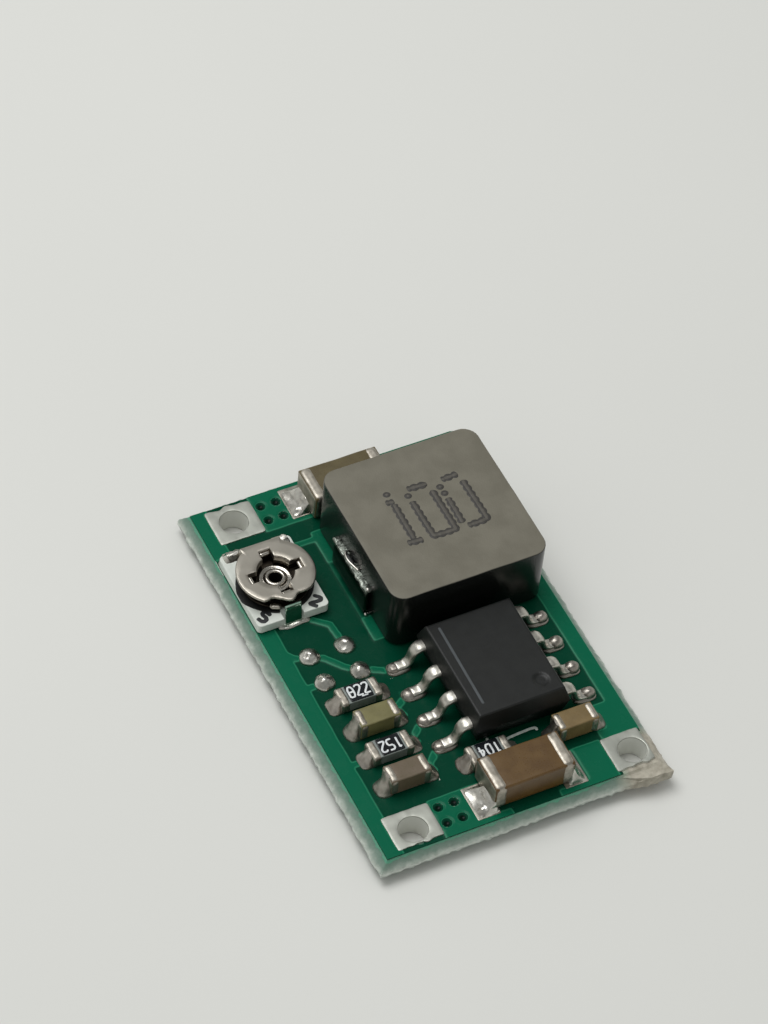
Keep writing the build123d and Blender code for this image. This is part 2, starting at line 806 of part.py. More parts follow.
def trimmer_wiper_terminal():
    """Strip under the base that rises as the rivet in the middle and as a tab in the near notch."""
    left, right, near, far = base_edges()
    half = strip_width / 2
    outside = near - strip_tab_foot / 2
    foot = near + strip_tab_foot
    tip = near + base_notch_depth
    inside = rotor_y + rivet_radius + land_margin
    strip = block(rotor_x - half, rotor_x + half, outside, inside, board_thickness, base_low)
    wedge = outline([
        (outside, base_low), (foot, base_low), (tip, base_high), (tip - strip_tab_thickness, base_high),
    ])
    tab = Pos(rotor_x, 0, 0) * extrude(Plane.YZ * wedge, amount=half, both=True)
    flange_high = flange_low + rivet_flange_thickness
    profile = outline([
        (rivet_hole_radius, board_thickness), (rivet_radius, board_thickness), (rivet_radius, flange_low),
        (rivet_flange_radius, flange_low), (rivet_flange_radius, flange_high - rivet_flange_bevel),
        (rivet_flange_radius - rivet_flange_bevel, flange_high),
        (rivet_hole_radius + rivet_flange_bevel, flange_high),
        (rivet_hole_radius, flange_high - rivet_flange_bevel),
    ])
    rivet = Pos(rotor_x, rotor_y, 0) * revolve(Plane.XZ * profile, axis=Axis.Z)
    bore = slab(disc(rotor_x, rotor_y, rivet_hole_radius), board_thickness, base_low)
    save("trimmer_wiper_terminal", (strip - bore) + tab + rivet)


def trimmer_rotor():
    """One sheet folded double: a slotted driver plate over a spring plate that carries the wiper bump."""
    top = board_thickness + rotor_rise
    upper = Circle(rotor_radius) + rectangle(-rotor_flat_half, rotor_flat_half, 0, rotor_flat)
    for angle in (-90 - rotor_notch_angle, -90 + rotor_notch_angle):
        x = rotor_radius * cos(radians(angle))
        y = rotor_radius * sin(radians(angle))
        upper = upper - disc(x, y, rotor_notch_radius)
    arms = Rectangle(2 * rotor_arm_reach, rotor_arm_width)
    well = Circle(rotor_well_radius) + arms + Rot(0, 0, 90) * arms
    upper = upper - well
    reach = 2 * rotor_radius
    trimmed = rectangle(-reach, reach, -reach, rotor_flat)
    plate = slab(upper & trimmed, top - rotor_upper_thickness, top)
    lower = Circle(rotor_lower_radius) + rectangle(-rotor_flat_half, rotor_flat_half, 0, rotor_flat)
    lower = (lower & trimmed) - Circle(rivet_radius + rotor_bore_gap)
    for side in (-1, 1):
        middle = 270 + side * spring_slot_angle
        start = middle - spring_slot_half_angle
        stop = middle + spring_slot_half_angle
        lower = lower - ring_sector(spring_slot_inner_radius, spring_slot_outer_radius, start, stop)
    spring = slab(lower, rotor_low, rotor_low + rotor_lower_thickness)
    wall = block(
        -rotor_flat_half, rotor_flat_half, rotor_flat - rotor_upper_thickness, rotor_flat, rotor_low, top
    )
    wiper_y = -(film_inner_radius + film_outer_radius) / 2
    bump_depth = rotor_low - base_high - film_thickness - wiper_bump_gap
    sphere_radius = (wiper_bump_radius**2 + bump_depth**2) / (2 * bump_depth)
    bump = Pos(0, wiper_y, rotor_low - bump_depth + sphere_radius) * Sphere(sphere_radius)
    bump = bump & block(-reach, reach, -reach, reach, base_high, rotor_low + rotor_lower_thickness / 2)
    rotor = plate + wall + spring + bump
    fold = rotor.edges().filter_by(Axis.X).group_by(Axis.Y)[-1]
    rotor = fillet(fold, rotor_fold_round)
    save("trimmer_rotor", Pos(rotor_x, rotor_y, 0) * rotor)


# Solder
def solder_wedge(face_x, side, y, reach, height, width):
    """Concave fillet of solder against an end face, tapering to the land's outer edge."""
    foot = face_x + side * (reach - joint_setback)
    low = board_thickness
    high = low + height
    bulge_x = face_x + side * reach * joint_hollow
    bulge_z = low + height * joint_hollow
    curve = ThreePointArc((foot, low), (bulge_x, bulge_z), (face_x, high))
    rest = Polyline((face_x, high), (face_x, low), (foot, low))
    flat = make_face(curve + rest)
    return Pos(0, y, 0) * extrude(Plane.XZ * flat, amount=width / 2, both=True)


def chip_solder(kind, where, lands, climb):
    """Solder under and outside both ends of a chip part, kept to its lands."""
    joints = []
    reach = kind["land_reach"] - end_thickness
    for side, land in zip((-1, 1), lands):
        film = slab(land, copper_top, board_thickness)
        face_x = where[0] + side * (kind["length"] / 2 + end_thickness)
        height = climb * (kind["height"] + 2 * end_thickness)
        wedge = solder_wedge(face_x, side, where[1], reach, height, kind["width"] * joint_width_share)
        wedge = wedge & slab(land, copper_top, board_thickness + height)
        joints.append(film + wedge)
    return joints


def solder():
    """Every solder joint, in one node for each kind of part."""
    small_parts = [
        (small_chip, upper_capacitor), (small_chip, lower_capacitor), (small_chip, boost_capacitor),
        (flat_chip, resistor_822), (flat_chip, resistor_152), (flat_chip, resistor_104),
    ]
    joints = []
    for kind, where in small_parts:
        joints += chip_solder(kind, where, chip_lands(kind, where), climb_small)
    save("solder_small_parts", joints)
    for name, where, end in (("input", input_capacitor, -1), ("output", output_capacitor, 1)):
        joints = chip_solder(big_chip, where, big_lands(where, end), climb_big)
        save(f"solder_{name}_capacitor", joints)

    # A fillet climbs from each lead's toe
    joints = []
    for number, side, y in lead_rows():
        film = slab(lead_land(side, y), copper_top, board_thickness)
        toe = regulator_x + side * (regulator_width / 2 + lead_toe)
        joints.append(film + solder_wedge(toe, side, y, toe_reach, lead_thickness, lead_width))
    save("solder_regulator", joints)

    joints = []
    for side in (-1, 1):
        film = slab(inductor_land(side), copper_top, board_thickness)
        face_x = inductor_x + side * (inductor_size / 2 + terminal_proud + terminal_thickness)
        wedge = solder_wedge(face_x, side, inductor_y, land_margin, terminal_thickness, terminal_width)
        joints.append(film + wedge)
    save("solder_inductor", joints)

    save("solder_trimmer", [slab(land, copper_top, board_thickness) for land in trimmer_lands()])

    # A dome is lofted through level outlines that lie on one sphere
    rise = dome_height + mask_thickness
    sphere_radius = (dome_radius**2 + rise**2) / (2 * rise)
    sections = []
    for share in dome_shares:
        radius = dome_radius * share
        level = rise - sphere_radius + sqrt(sphere_radius**2 - radius**2)
        sections.append(Pos(0, 0, level) * RegularPolygon(radius, dome_sides))
    dome = loft(sections, ruled=True)
    save("solder_domes", [Pos(x, y, copper_top) * dome for x, y in dome_places])


os.makedirs("parts", exist_ok=True)
board_layers()
inductor()
regulator()
capacitor("input_capacitor", big_chip, input_capacitor)
capacitor("output_capacitor", big_chip, output_capacitor)
capacitor("upper_capacitor", small_chip, upper_capacitor)
capacitor("lower_capacitor", small_chip, lower_capacitor)
capacitor("boost_capacitor", small_chip, boost_capacitor)
resistor("resistor_822", flat_chip, resistor_822)
resistor("resistor_152", flat_chip, resistor_152)
resistor("resistor_104", flat_chip, resistor_104)
trimmer_base()
trimmer_track()
trimmer_end_clips()
trimmer_wiper_terminal()
trimmer_rotor()
solder()
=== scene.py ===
# %% [markdown]
# This lesson dresses a tiny step-down converter board: a green circuit board, 17 mm long, with a moulded
# inductor, an eight-lead regulator, chip parts and a turnable trimmer. The solids come from CAD. Here each
# of them gets the surface that the eye expects, so that the render matches a close-up photograph of the
# real thing.

# %% Load the CAD frame
import math

import bmesh
import bpy
import numpy as np
from mathutils import Matrix, Vector


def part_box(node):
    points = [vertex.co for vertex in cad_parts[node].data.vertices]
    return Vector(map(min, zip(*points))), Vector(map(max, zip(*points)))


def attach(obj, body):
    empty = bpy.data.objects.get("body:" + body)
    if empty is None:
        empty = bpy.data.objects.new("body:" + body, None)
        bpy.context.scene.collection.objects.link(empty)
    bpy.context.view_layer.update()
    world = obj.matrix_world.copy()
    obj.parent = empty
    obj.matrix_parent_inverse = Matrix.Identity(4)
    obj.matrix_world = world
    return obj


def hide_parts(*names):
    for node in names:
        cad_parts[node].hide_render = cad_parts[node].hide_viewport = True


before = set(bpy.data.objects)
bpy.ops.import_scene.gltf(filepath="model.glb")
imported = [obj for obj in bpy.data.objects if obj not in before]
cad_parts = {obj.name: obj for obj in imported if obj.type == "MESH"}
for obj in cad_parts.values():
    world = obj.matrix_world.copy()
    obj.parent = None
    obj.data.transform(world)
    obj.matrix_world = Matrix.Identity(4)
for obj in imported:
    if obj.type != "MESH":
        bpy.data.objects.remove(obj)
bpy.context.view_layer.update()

print(len(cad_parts), "CAD nodes")

# %% [markdown]
# Everything on this board is measured in millimetres, and Blender works in metres. The pieces are worked
# out in millimetres and turned into metres at the last moment. Places are read from the CAD nodes where
# they can be, so that a dressed piece sits where its solid sits.

# %% Millimetres and places
MM = 0.001
BOARD_TOP = 1.0  # mm above the surface that the board lies on


def span(node):
    """Lowest and highest corner of a CAD node, in millimetres."""
    low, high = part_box(node)
    return np.array(low) / MM, np.array(high) / MM


half_width, half_length = span("solder_mask_top")[1][:2]
print("board", round(2 * half_width, 2), "by", round(2 * half_length, 2), "mm")

# %% [markdown]
# Most pieces are closed skins: a pile of rings with a flat end at the bottom and the top, or a ring of
# rings that closes on itself like a tyre. Both come down to one grid of points and the four-sided faces
# between neighbours. A skin can come out inside out, depending on which way its rings run, so its volume is
# worked out and the faces are turned round when it is negative.

# %% Closed skins from grids of points
def grid_faces(rows, columns, close_rows=False, close_columns=True):
    """Faces between neighbours of a grid: point (r, c) is joined to (r, c+1), (r+1, c+1) and (r+1, c)."""
    r = np.arange(rows if close_rows else rows - 1)
    c = np.arange(columns if close_columns else columns - 1)
    r, c = np.meshgrid(r, c, indexing="ij")
    next_r = (r + 1) % rows
    next_c = (c + 1) % columns
    corners = [r * columns + c, r * columns + next_c, next_r * columns + next_c, next_r * columns + c]
    return np.stack(corners, axis=-1).reshape(-1, 4)


def outward(points, quads, ends):
    """Turns the faces round if the skin's volume, the sum of a.(b x c)/6 over its triangles, is negative."""
    centred = points - points.mean(axis=0)
    volume = 0.0
    for i, j, k in ((0, 1, 2), (0, 2, 3)):
        a, b, c = centred[quads[:, i]], centred[quads[:, j]], centred[quads[:, k]]
        volume += np.einsum("ij,ij->i", a, np.cross(b, c)).sum() / 6
    if volume < 0:
        quads = quads[:, ::-1]
        ends = [end[::-1] for end in ends]
    return points, quads, ends


def pile(rings):
    """Closed skin over a pile of rings, an array (ring, point, xyz), with a flat first and last face."""
    rows, columns = rings.shape[:2]
    ends = [list(range(columns))[::-1], list(range((rows - 1) * columns, rows * columns))]
    return outward(rings.reshape(-1, 3), grid_faces(rows, columns), ends)


def tyre(rings):
    """Closed skin whose last ring joins its first."""
    rows, columns = rings.shape[:2]
    return outward(rings.reshape(-1, 3), grid_faces(rows, columns, close_rows=True), [])


print(len(grid_faces(3, 8)), "faces in a small test pile")

# %% [markdown]
# A piece is one Blender object. Its skins are put into one mesh, scaled to metres, and the object stays at
# the origin. Edges that turn by more than an angle stay sharp, and the rest of the skin is shaded smooth.

# %% Pieces
def placed(name, mesh, material, nodes, body):
    mesh.materials.clear()
    mesh.materials.append(material)
    thing = bpy.data.objects.new(name, mesh)
    bpy.context.scene.collection.objects.link(thing)
    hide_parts(*nodes)
    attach(thing, body)
    print(name, len(mesh.polygons), "faces")
    return thing


def piece(name, skins, material, nodes=(), body="board", sharp=40.0):
    """One object from several skins, smooth except at edges sharper than the angle given in degrees."""
    points, faces, count = [], [], 0
    for skin_points, quads, ends in skins:
        points.append(skin_points)
        faces += (quads + count).tolist()
        faces += [[corner + count for corner in end] for end in ends]
        count += len(skin_points)
    mesh = bpy.data.meshes.new(name)
    mesh.from_pydata((np.concatenate(points) * MM).tolist(), [], faces)
    mesh.shade_smooth()
    mesh.set_sharp_from_angle(angle=math.radians(sharp))
    return placed(name, mesh, material, nodes, body)


# %% [markdown]
# Some pieces need nothing but softer edges, because their CAD form is already the real one. Those start
# from a copy of the CAD mesh. Its triangles are loose, so points that lie together are merged first, and
# the lines that cross a flat are dissolved. Then a Bevel modifier eases the edges, as tumbling or firing
# does on the real part. Foils that only show through small openings keep the CAD mesh and just take a
# finish.

# %% Copies of CAD meshes
MERGE = 0.0005  # mm: points nearer than this are one point
CREASE = math.radians(35)


def merged_copy(node, flatten=False):
    """Copy of a CAD node's mesh with its points merged and, when flattened, no lines across its flats."""
    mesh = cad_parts[node].data.copy()
    edit = bmesh.new()
    edit.from_mesh(mesh)
    bmesh.ops.remove_doubles(edit, verts=edit.verts, dist=MERGE * MM)
    if flatten:
        bmesh.ops.dissolve_limit(edit, angle_limit=math.radians(2), verts=edit.verts, edges=edit.edges)
    edit.to_mesh(mesh)
    edit.free()
    return mesh


def softened(name, node, material, edge, body="board"):
    """Flattened copy of a CAD node whose edges are eased by a bevel of a width in mm."""
    mesh = merged_copy(node, flatten=True)
    mesh.shade_smooth()
    mesh.set_sharp_from_angle(angle=CREASE)
    thing = placed(name, mesh, material, [node], body)
    bevel = thing.modifiers.new("eased edges", "BEVEL")
    bevel.width = edge * MM
    bevel.segments = 2
    bevel.limit_method = "ANGLE"
    bevel.angle_limit = CREASE
    return thing


def dressed(node, material):
    """A CAD node that is shown as it is, with a finish of its own."""
    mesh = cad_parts[node].data
    mesh.materials.clear()
    mesh.materials.append(material)
    print(node, "keeps its CAD mesh")


print("edges over", round(math.degrees(CREASE)), "degrees are eased")

# %% [markdown]
# Real parts are never quite even: solder is lumpy, plating is grainy and snapped laminate is ragged. A
# smooth random field does all of these. It is a sum of sine waves in random directions, each octave half as
# long and half as high as the one before, and the same seed gives the same lumps on every run.

# %% Lumps
def lumps(points, size, seed, octaves=3):
    """Smooth field from about -1 to 1: sines of wavelength size, size/2 and so on in seeded directions."""
    rng = np.random.default_rng(seed)
    total = 0.0
    for octave in range(octaves):
        for wave in range(4):
            direction = rng.normal(size=3)
            direction *= 2 * math.pi * 2**octave / size / np.linalg.norm(direction)
            total = total + np.sin(points @ direction + rng.uniform(0, 2 * math.pi)) * 0.5**octave
    return total / 3.5


print("lumps at the origin", round(float(lumps(np.zeros(3), 1.0, 1)), 3))

# %% [markdown]
# Three forms cover almost every part of the board, and the first is the rounded rectangle. Moulded bodies,
# chips and end caps are all blocks whose outline is drawn in a little at the bottom and the top, because a
# die or a tumbling drum leaves no sharp edge. The rings are built as one array, and a last few of them run
# inwards across the top, so that the flat has points of its own for unevenness and dimples.

# %% Rounded rectangles
def rounded_rectangle(half_x, half_y, corner, along=8, turn=6):
    """Outlines, counter-clockwise: x = u(half_x - corner) + corner cos(t), y likewise with v and sin(t).

    (u, v) stands at a corner of the unit square while t turns a quarter, then walks along the side.
    """
    u, v, angle = [], [], []
    signs = [(1, 1), (-1, 1), (-1, -1), (1, -1), (1, 1)]
    for k in range(4):
        turning = np.radians(np.linspace(90 * k, 90 * (k + 1), turn + 1))
        walk = np.linspace(0, 1, along + 1)[1:-1]
        u += [np.full(turn + 1, signs[k][0]), signs[k][0] + walk * (signs[k + 1][0] - signs[k][0])]
        v += [np.full(turn + 1, signs[k][1]), signs[k][1] + walk * (signs[k + 1][1] - signs[k][1])]
        angle += [turning, np.full(along - 1, turning[-1])]
    u, v, angle = np.concatenate(u), np.concatenate(v), np.concatenate(angle)
    half_x, half_y, corner = (np.atleast_1d(value)[:, None] for value in (half_x, half_y, corner))
    x = u * (half_x - corner) + corner * np.cos(angle)
    y = v * (half_y - corner) + corner * np.sin(angle)
    return np.stack(np.broadcast_arrays(x, y), axis=-1)


print(rounded_rectangle(1, 1, 0.1).shape[1], "points in an outline")

# %% [markdown]
# A body is a pile of such outlines at rising heights. Where the outline is drawn in, its corner gets
# tighter by the same amount, as an offset curve does, and it never shrinks to a point, so that no two
# points of a ring fall together.

# %% Blocks
def stepped(half_x, half_y, corner, inset, z, along=8):
    """Rings of a body whose outline is drawn in by the inset at each height z."""
    inset, z = np.array(inset, float), np.array(z, float)
    round_corner = np.maximum(corner - inset, 0.05 * corner)
    flat = rounded_rectangle(half_x - inset, half_y - inset, round_corner, along=along)
    heights = np.broadcast_to(z[:, None, None], flat.shape[:2] + (1,))
    return np.concatenate([flat, heights], axis=-1)


def block(half_x, half_y, corner, low, high, edge, fill=8, along=8):
    """Rings of a block with rounded edges.

    The inset is edge(1 - sin t) going up from the bottom and edge(1 - cos t) over the top edge, and then it
    grows inwards across the top.
    """
    quarter = np.linspace(0, math.pi / 2, 6)
    side = np.linspace(0, 1, 5)[1:-1]
    across = np.linspace(0, 1, fill + 1)[1:] * 0.97 * (min(half_x, half_y) - edge)
    inset = np.concatenate([
        edge * (1 - np.sin(quarter)), 0 * side, edge * (1 - np.cos(quarter)), edge + across,
    ])
    z = np.concatenate([
        low + edge * (1 - np.cos(quarter)), low + edge + side * (high - low - 2 * edge),
        high - edge * (1 - np.sin(quarter)), np.full(fill, high),
    ])
    return stepped(half_x, half_y, corner, inset, z, along=along)


print(block(1, 1, 0.1, 0, 1, 0.1).shape, "points in a test block")

# %% [markdown]
# The second form is a bar carried along a path. Leads and terminals are strips bent in a press, wires are
# drawn, and a stroke of ink or of a laser is a very flat bar. The path's bends are rounded first by cutting
# corners, because metal never bends sharply. A cross-section with a power of 2 is an ellipse, and a higher
# power makes it squarer.

# %% Bars along paths
def eased(points, rounds=3):
    """Path with round bends: each round replaces a corner by points a quarter of the way along its sides."""
    path = np.array(points, float)
    for turn in range(rounds):
        first = path[:-1] * 0.75 + path[1:] * 0.25
        second = path[:-1] * 0.25 + path[1:] * 0.75
        path = np.concatenate([path[:1], np.stack([first, second], axis=1).reshape(-1, 3), path[-1:]])
    return path


def bar(path, width, thickness, across=None, steps=24, blunt=0.05, power=4.0, around=16, swell=None):
    """Rings of a bar: at each point the ring is |a/width|^p + |b/thickness|^p = 1/2^p, square to the path.

    Near an end, at a distance d under the blunt length, it is scaled by the square root of
    1 - (1 - d/blunt)^2.
    """
    path = np.array(path, float)
    run = np.concatenate([[0], np.cumsum(np.linalg.norm(np.diff(path, axis=0), axis=1))])
    tip = blunt * (1 - np.cos(np.linspace(0, math.pi / 2, 5)[:-1]))
    far = np.concatenate([tip, np.linspace(blunt, run[-1] - blunt, steps), (run[-1] - tip)[::-1]])
    line = np.stack([np.interp(far, run, path[:, axis]) for axis in range(3)], axis=-1)
    near = np.minimum(np.minimum(far, run[-1] - far) / blunt, 1)
    scale = np.sqrt(np.clip(1 - (1 - near) ** 2, 0.02, 1))[:, None]
    ahead = np.gradient(line, axis=0)
    ahead /= np.linalg.norm(ahead, axis=1)[:, None]
    sideways = np.cross([0.0, 0.0, 1.0], ahead) if across is None else np.broadcast_to(across, line.shape)
    sideways = sideways / np.linalg.norm(sideways, axis=1)[:, None]
    upward = np.cross(ahead, sideways)
    angle = np.linspace(0, 2 * math.pi, around, endpoint=False)
    a = np.sign(np.cos(angle)) * np.abs(np.cos(angle)) ** (2 / power) * width / 2
    b = np.sign(np.sin(angle)) * np.abs(np.sin(angle)) ** (2 / power) * thickness / 2
    if swell is not None:
        scale = scale * swell(far)[:, None]
    offset = sideways[:, None] * (a * scale)[..., None] + upward[:, None] * (b * scale)[..., None]
    return line[:, None] + offset


print(len(eased([(0, 0, 0), (1, 0, 0), (1, 1, 0)])), "points in a test bend")

# %% [markdown]
# The third form is a mound. Melted solder wets a land up to its outline and climbs the metal that stands on
# it, and it freezes as a hollow cone against a chip's end or as a dome on a bare land. So each mound is
# drawn from a land's outline to a short ridge, its height mixes a dome and a cone, and lumps keep it from
# looking turned on a lathe.

# %% Solder mounds
def mound(land, peak, height, seed, cone=0.0, rough=0.02, power=4.0, low=0.95, around=44, rows=12):
    """Rings of solder from a land's outline to a ridge: point = rim (1 - s) + ridge s, for s from 0 to 1.

    The land is x0, x1, y0, y1 and its outline |x/a|^p + |y/b|^p = 1. The peak is x, y and half the ridge in x
    and in y. Height follows the square root of 1 - (1 - s)^2 for a dome and s^1.5 for a cone, mixed by the
    cone share.
    """
    x0, x1, y0, y1 = land
    angle = np.linspace(0, 2 * math.pi, around, endpoint=False)
    c, s = np.cos(angle), np.sin(angle)
    rim_x = (x0 + x1) / 2 + np.sign(c) * np.abs(c) ** (2 / power) * (x1 - x0) / 2
    rim_y = (y0 + y1) / 2 + np.sign(s) * np.abs(s) ** (2 / power) * (y1 - y0) / 2
    share = np.concatenate([[0.0], np.linspace(0, 1, rows)])[:, None]
    x = rim_x * (1 - share) + (peak[0] + peak[2] * c) * share
    y = rim_y * (1 - share) + (peak[1] + peak[3] * s) * share
    rise = (1 - cone) * np.sqrt(1 - (1 - share) ** 2) + cone * share**1.5
    z = BOARD_TOP + height * rise + 0 * x
    rings = np.stack([x, y, z], axis=-1)
    sway = lumps(rings, 0.45, seed)
    rings[..., 2] += rough * sway * np.sqrt(share)
    rings[..., 0] += rough * lumps(rings, 0.6, seed + 50)
    rings[..., 1] += rough * lumps(rings, 0.6, seed + 90)
    rings[0, :, 2] = low
    return rings


print(mound((-1, 1, -1, 1), (0, 0, 0.1, 0.1), 0.5, 1).shape, "points in a test mound")

# %% [markdown]
# The colours are written as sRGB hex codes, as a colour picker shows them, and one function turns them to
# the linear values that Blender computes with. One small function adds any node with its settings and
# links, so that a material reads as a list of what goes into what.

# %% Colours and nodes
def linear(code):
    """Linear colour of an sRGB hex code: c/12.92 up to 0.04045, and ((c + 0.055)/1.055)^2.4 above."""
    srgb = np.array([int(code[i:i + 2], 16) / 255 for i in (1, 3, 5)])
    value = np.where(srgb <= 0.04045, srgb / 12.92, ((srgb + 0.055) / 1.055) ** 2.4)
    return (*value.tolist(), 1.0)


def add(tree, kind, inputs=None, stops=None, **settings):
    """Adds a node. Inputs are values or sockets to link from, stops are the places and colours of a ramp."""
    node = tree.nodes.new("ShaderNode" + kind)
    for name, value in settings.items():
        setattr(node, name, value)
    for name, value in (inputs or {}).items():
        if isinstance(value, bpy.types.NodeSocket):
            tree.links.new(value, node.inputs[name])
        else:
            node.inputs[name].default_value = value
    if stops:
        ramp = node.color_ramp.elements
        while len(ramp) < len(stops):
            ramp.new(0.5)
        for element, (place, colour) in zip(ramp, stops):
            element.position = place
            element.color = colour
    return node


print("mid grey is", [round(value, 3) for value in linear("#808080")])

# %% [markdown]
# A finish starts from the real material. Each one gets a base colour that wanders between two nearby
# colours in patches, a grain that lifts the surface and changes how rough it is, and a size in millimetres
# for both. Grain finer than 0.05 mm would vanish in a picture of the whole board, so it is drawn at 0.05 mm
# where it is finer. Numbers that are the same all over a surface are set on the shader's own sockets.

# %% Finishes
def finish(name, colour, other, roughness, spread=0.06, metallic=0.0, patch=0.8, grain=0.06, relief=0.004,
           stretch=(1, 1, 1), **shader_values):
    """Material whose colour wanders between two hex codes in patches, with a raised grain. Sizes in mm."""
    material = bpy.data.materials.new(name)
    material.use_nodes = True
    tree = material.node_tree
    tree.nodes.clear()
    spot = add(tree, "TexCoord").outputs["Object"]
    drawn = add(tree, "Mapping", {"Vector": spot, "Scale": stretch}).outputs["Vector"]
    blotch = add(tree, "TexNoise", {"Vector": spot, "Scale": 1 / (patch * MM), "Detail": 3.0})
    tint = add(tree, "ValToRGB", {"Fac": blotch.outputs["Fac"]}, [
        (0.36, linear(colour)), (0.64, linear(other)),
    ])
    fine = add(tree, "TexNoise", {"Vector": drawn, "Scale": 1 / (grain * MM), "Detail": 3.0})
    gloss = add(tree, "MapRange", {
        "Value": fine.outputs["Fac"], "From Min": 0.3, "From Max": 0.7,
        "To Min": max(roughness - spread, 0.02), "To Max": roughness + spread,
    })
    lift = add(tree, "Bump", {"Height": fine.outputs["Fac"], "Distance": relief * MM})
    shader = add(tree, "BsdfPrincipled", {
        "Base Color": tint.outputs["Color"], "Metallic": metallic, "Roughness": gloss.outputs["Result"],
        "Normal": lift.outputs["Normal"], **shader_values,
    })
    add(tree, "OutputMaterial", {"Surface": shader.outputs["BSDF"]})
    return material


def opened(material):
    """Node tree of a finish, its shader, and the socket that gives Object coordinates."""
    tree = material.node_tree
    shader = next(node for node in tree.nodes if node.type == "BSDF_PRINCIPLED")
    spot = next(node for node in tree.nodes if node.type == "TEX_COORD").outputs["Object"]
    return tree, shader, spot


def mix_in(tree, socket, share, plain, data_type="RGBA"):
    """Links a mix to a socket: plain (1 - share) + what the socket had before x share."""
    before = socket.links[0].from_socket
    first, second = (6, 7) if data_type == "RGBA" else (2, 3)
    mixed = add(tree, "Mix", {0: share, first: plain, second: before}, data_type=data_type)
    tree.links.new(mixed.outputs[2 if data_type == "RGBA" else 0], socket)


print("patches of 0.8 mm need a noise scale of", round(1 / (0.8 * MM)), "to the metre")

# %% [markdown]
# The solder mask is a green epoxy lacquer, curtain-coated and cured to a soft gloss. Over copper it lets
# some light back and looks lighter, over bare laminate it looks dark. The copper lifts it by 0.03 mm, so
# the height says which is which: the material reads the Z of Object coordinates and mixes the greens over
# that step. Where the lacquer slopes off a copper edge the colour is palest, a painted highlight for the
# light that those slopes catch. Inside a via it is painted nearly black, as painted shade in the hole. The
# gloss is kept low, because a broad pale reflection would wash the green out.

# %% Green solder mask
def solder_mask(name, low_z, high_z, over_laminate, over_copper):
    """Gloss lacquer, IOR 1.5: the share of the way from one height in mm to the other mixes two greens."""
    material = finish(name, over_laminate, over_copper, 0.26, 0.05, grain=0.40, relief=0.004, IOR=1.5)
    tree, shader, spot = opened(material)
    height = add(tree, "SeparateXYZ", {"Vector": spot}).outputs["Z"]
    share = add(tree, "MapRange", {
        "Value": height, "From Min": low_z * MM, "From Max": high_z * MM, "To Min": 0.0, "To Max": 0.86,
    }).outputs["Result"]
    cloud = add(tree, "TexNoise", {"Vector": spot, "Scale": 1 / (1.6 * MM), "Detail": 2.0}).outputs["Fac"]
    mixed = add(tree, "Math", {0: cloud, 1: 0.14, 2: share}, operation="MULTIPLY_ADD").outputs["Value"]
    # The pale greens at 0.52 and 0.66 are a painted highlight on the slopes at copper edges.
    tint = add(tree, "ValToRGB", {"Fac": mixed}, [
        (0.16, linear(over_laminate)), (0.52, linear("#2c7a5c")), (0.66, linear("#1f6f51")),
        (0.86, linear(over_copper)),
    ])
    # Below 0.945 mm the colour goes nearly black: painted shade inside the vias.
    via_shade_share = add(tree, "MapRange", {
        "Value": height, "From Min": 0.900 * MM, "From Max": 0.945 * MM,
    }).outputs["Result"]
    hollow = add(tree, "Mix", {0: via_shade_share, 6: linear("#01150d"), 7: tint.outputs["Color"]}, data_type="RGBA")
    source = hollow.outputs[2] if low_z > 0.5 else tint.outputs["Color"]
    tree.links.new(source, shader.inputs["Base Color"])
    shader.inputs["Specular IOR Level"].default_value = 0.09
    return material


mask_green = solder_mask("green_solder_mask", 0.972, 0.998, "#013b29", "#0a5c42")
mask_green_under = solder_mask("green_solder_mask_underside", 0.020, 0.002, "#003524", "#0a5f42")
print(len(mask_green.node_tree.nodes), "nodes in the mask's material")

# %% [markdown]
# Tin and solder are metals, so they get metallic 1 and keep the default IOR. What sets them apart is how
# they froze. Dull tin was plated and scatters light, solder that melted in a pool is bright with soft
# lumps, and solder that crept up a chip's end is greyer and grainy. Plated ends were tumbled in a barrel
# and are matt.

# %% Tin and solder
# Electroplated tin: an even pale grey, no clear reflection.
dull_tin = finish("dull_tin_plate", "#a6a8a0", "#b1b3ab", 0.46, 0.04, 1.0, patch=0.5,
                  grain=0.10, relief=0.001)
# Reflowed solder in a pool: strong soft glints on its lumps.
bright_solder = finish("bright_solder", "#b8b5ad", "#d3d1ca", 0.29, 0.06, 1.0, patch=0.30,
                       grain=0.25, relief=0.006)
# Solder that crept up an end: warmer, darker and finely grained.
fillet_solder = finish("grainy_solder_fillet", "#958f87", "#b0aaa2", 0.38, 0.05, 1.0, patch=0.30, grain=0.16,
                       relief=0.002)
# A thin film of solder on a land: satin, with faint patches.
flat_solder = finish("flat_solder_film", "#99958b", "#aeaaa0", 0.36, 0.06, 1.0, patch=0.3,
                     grain=0.16, relief=0.003)
# Tinned copper lead: bright on the bends, softly blurred elsewhere.
lead_tin = finish("tinned_lead", "#b2afa6", "#cecbc3", 0.37, 0.05, 1.0, patch=0.25, grain=0.16, relief=0.002)
# Barrel-plated chip end: a matt warm grey.
end_tin = finish("barrel_plated_end", "#9a9489", "#b8b2a7", 0.44, 0.06, 1.0, patch=0.25,
                 grain=0.10, relief=0.002)
tins = (dull_tin, bright_solder, fillet_solder, flat_solder, lead_tin, end_tin)
print("tin and solder:", [material.name for material in tins])

# %% [markdown]
# The inductor's terminals are rolled strip, painted dark as painted shade on their faces, and where the
# strip was sheared its edge is torn and catches the light. The trimmer is stamped from nickel silver. The
# rolled top is satin, the drawn rivet was stretched over a polished punch and is the brightest, and the
# folded plate inside is painted dark as painted shade in the slot.

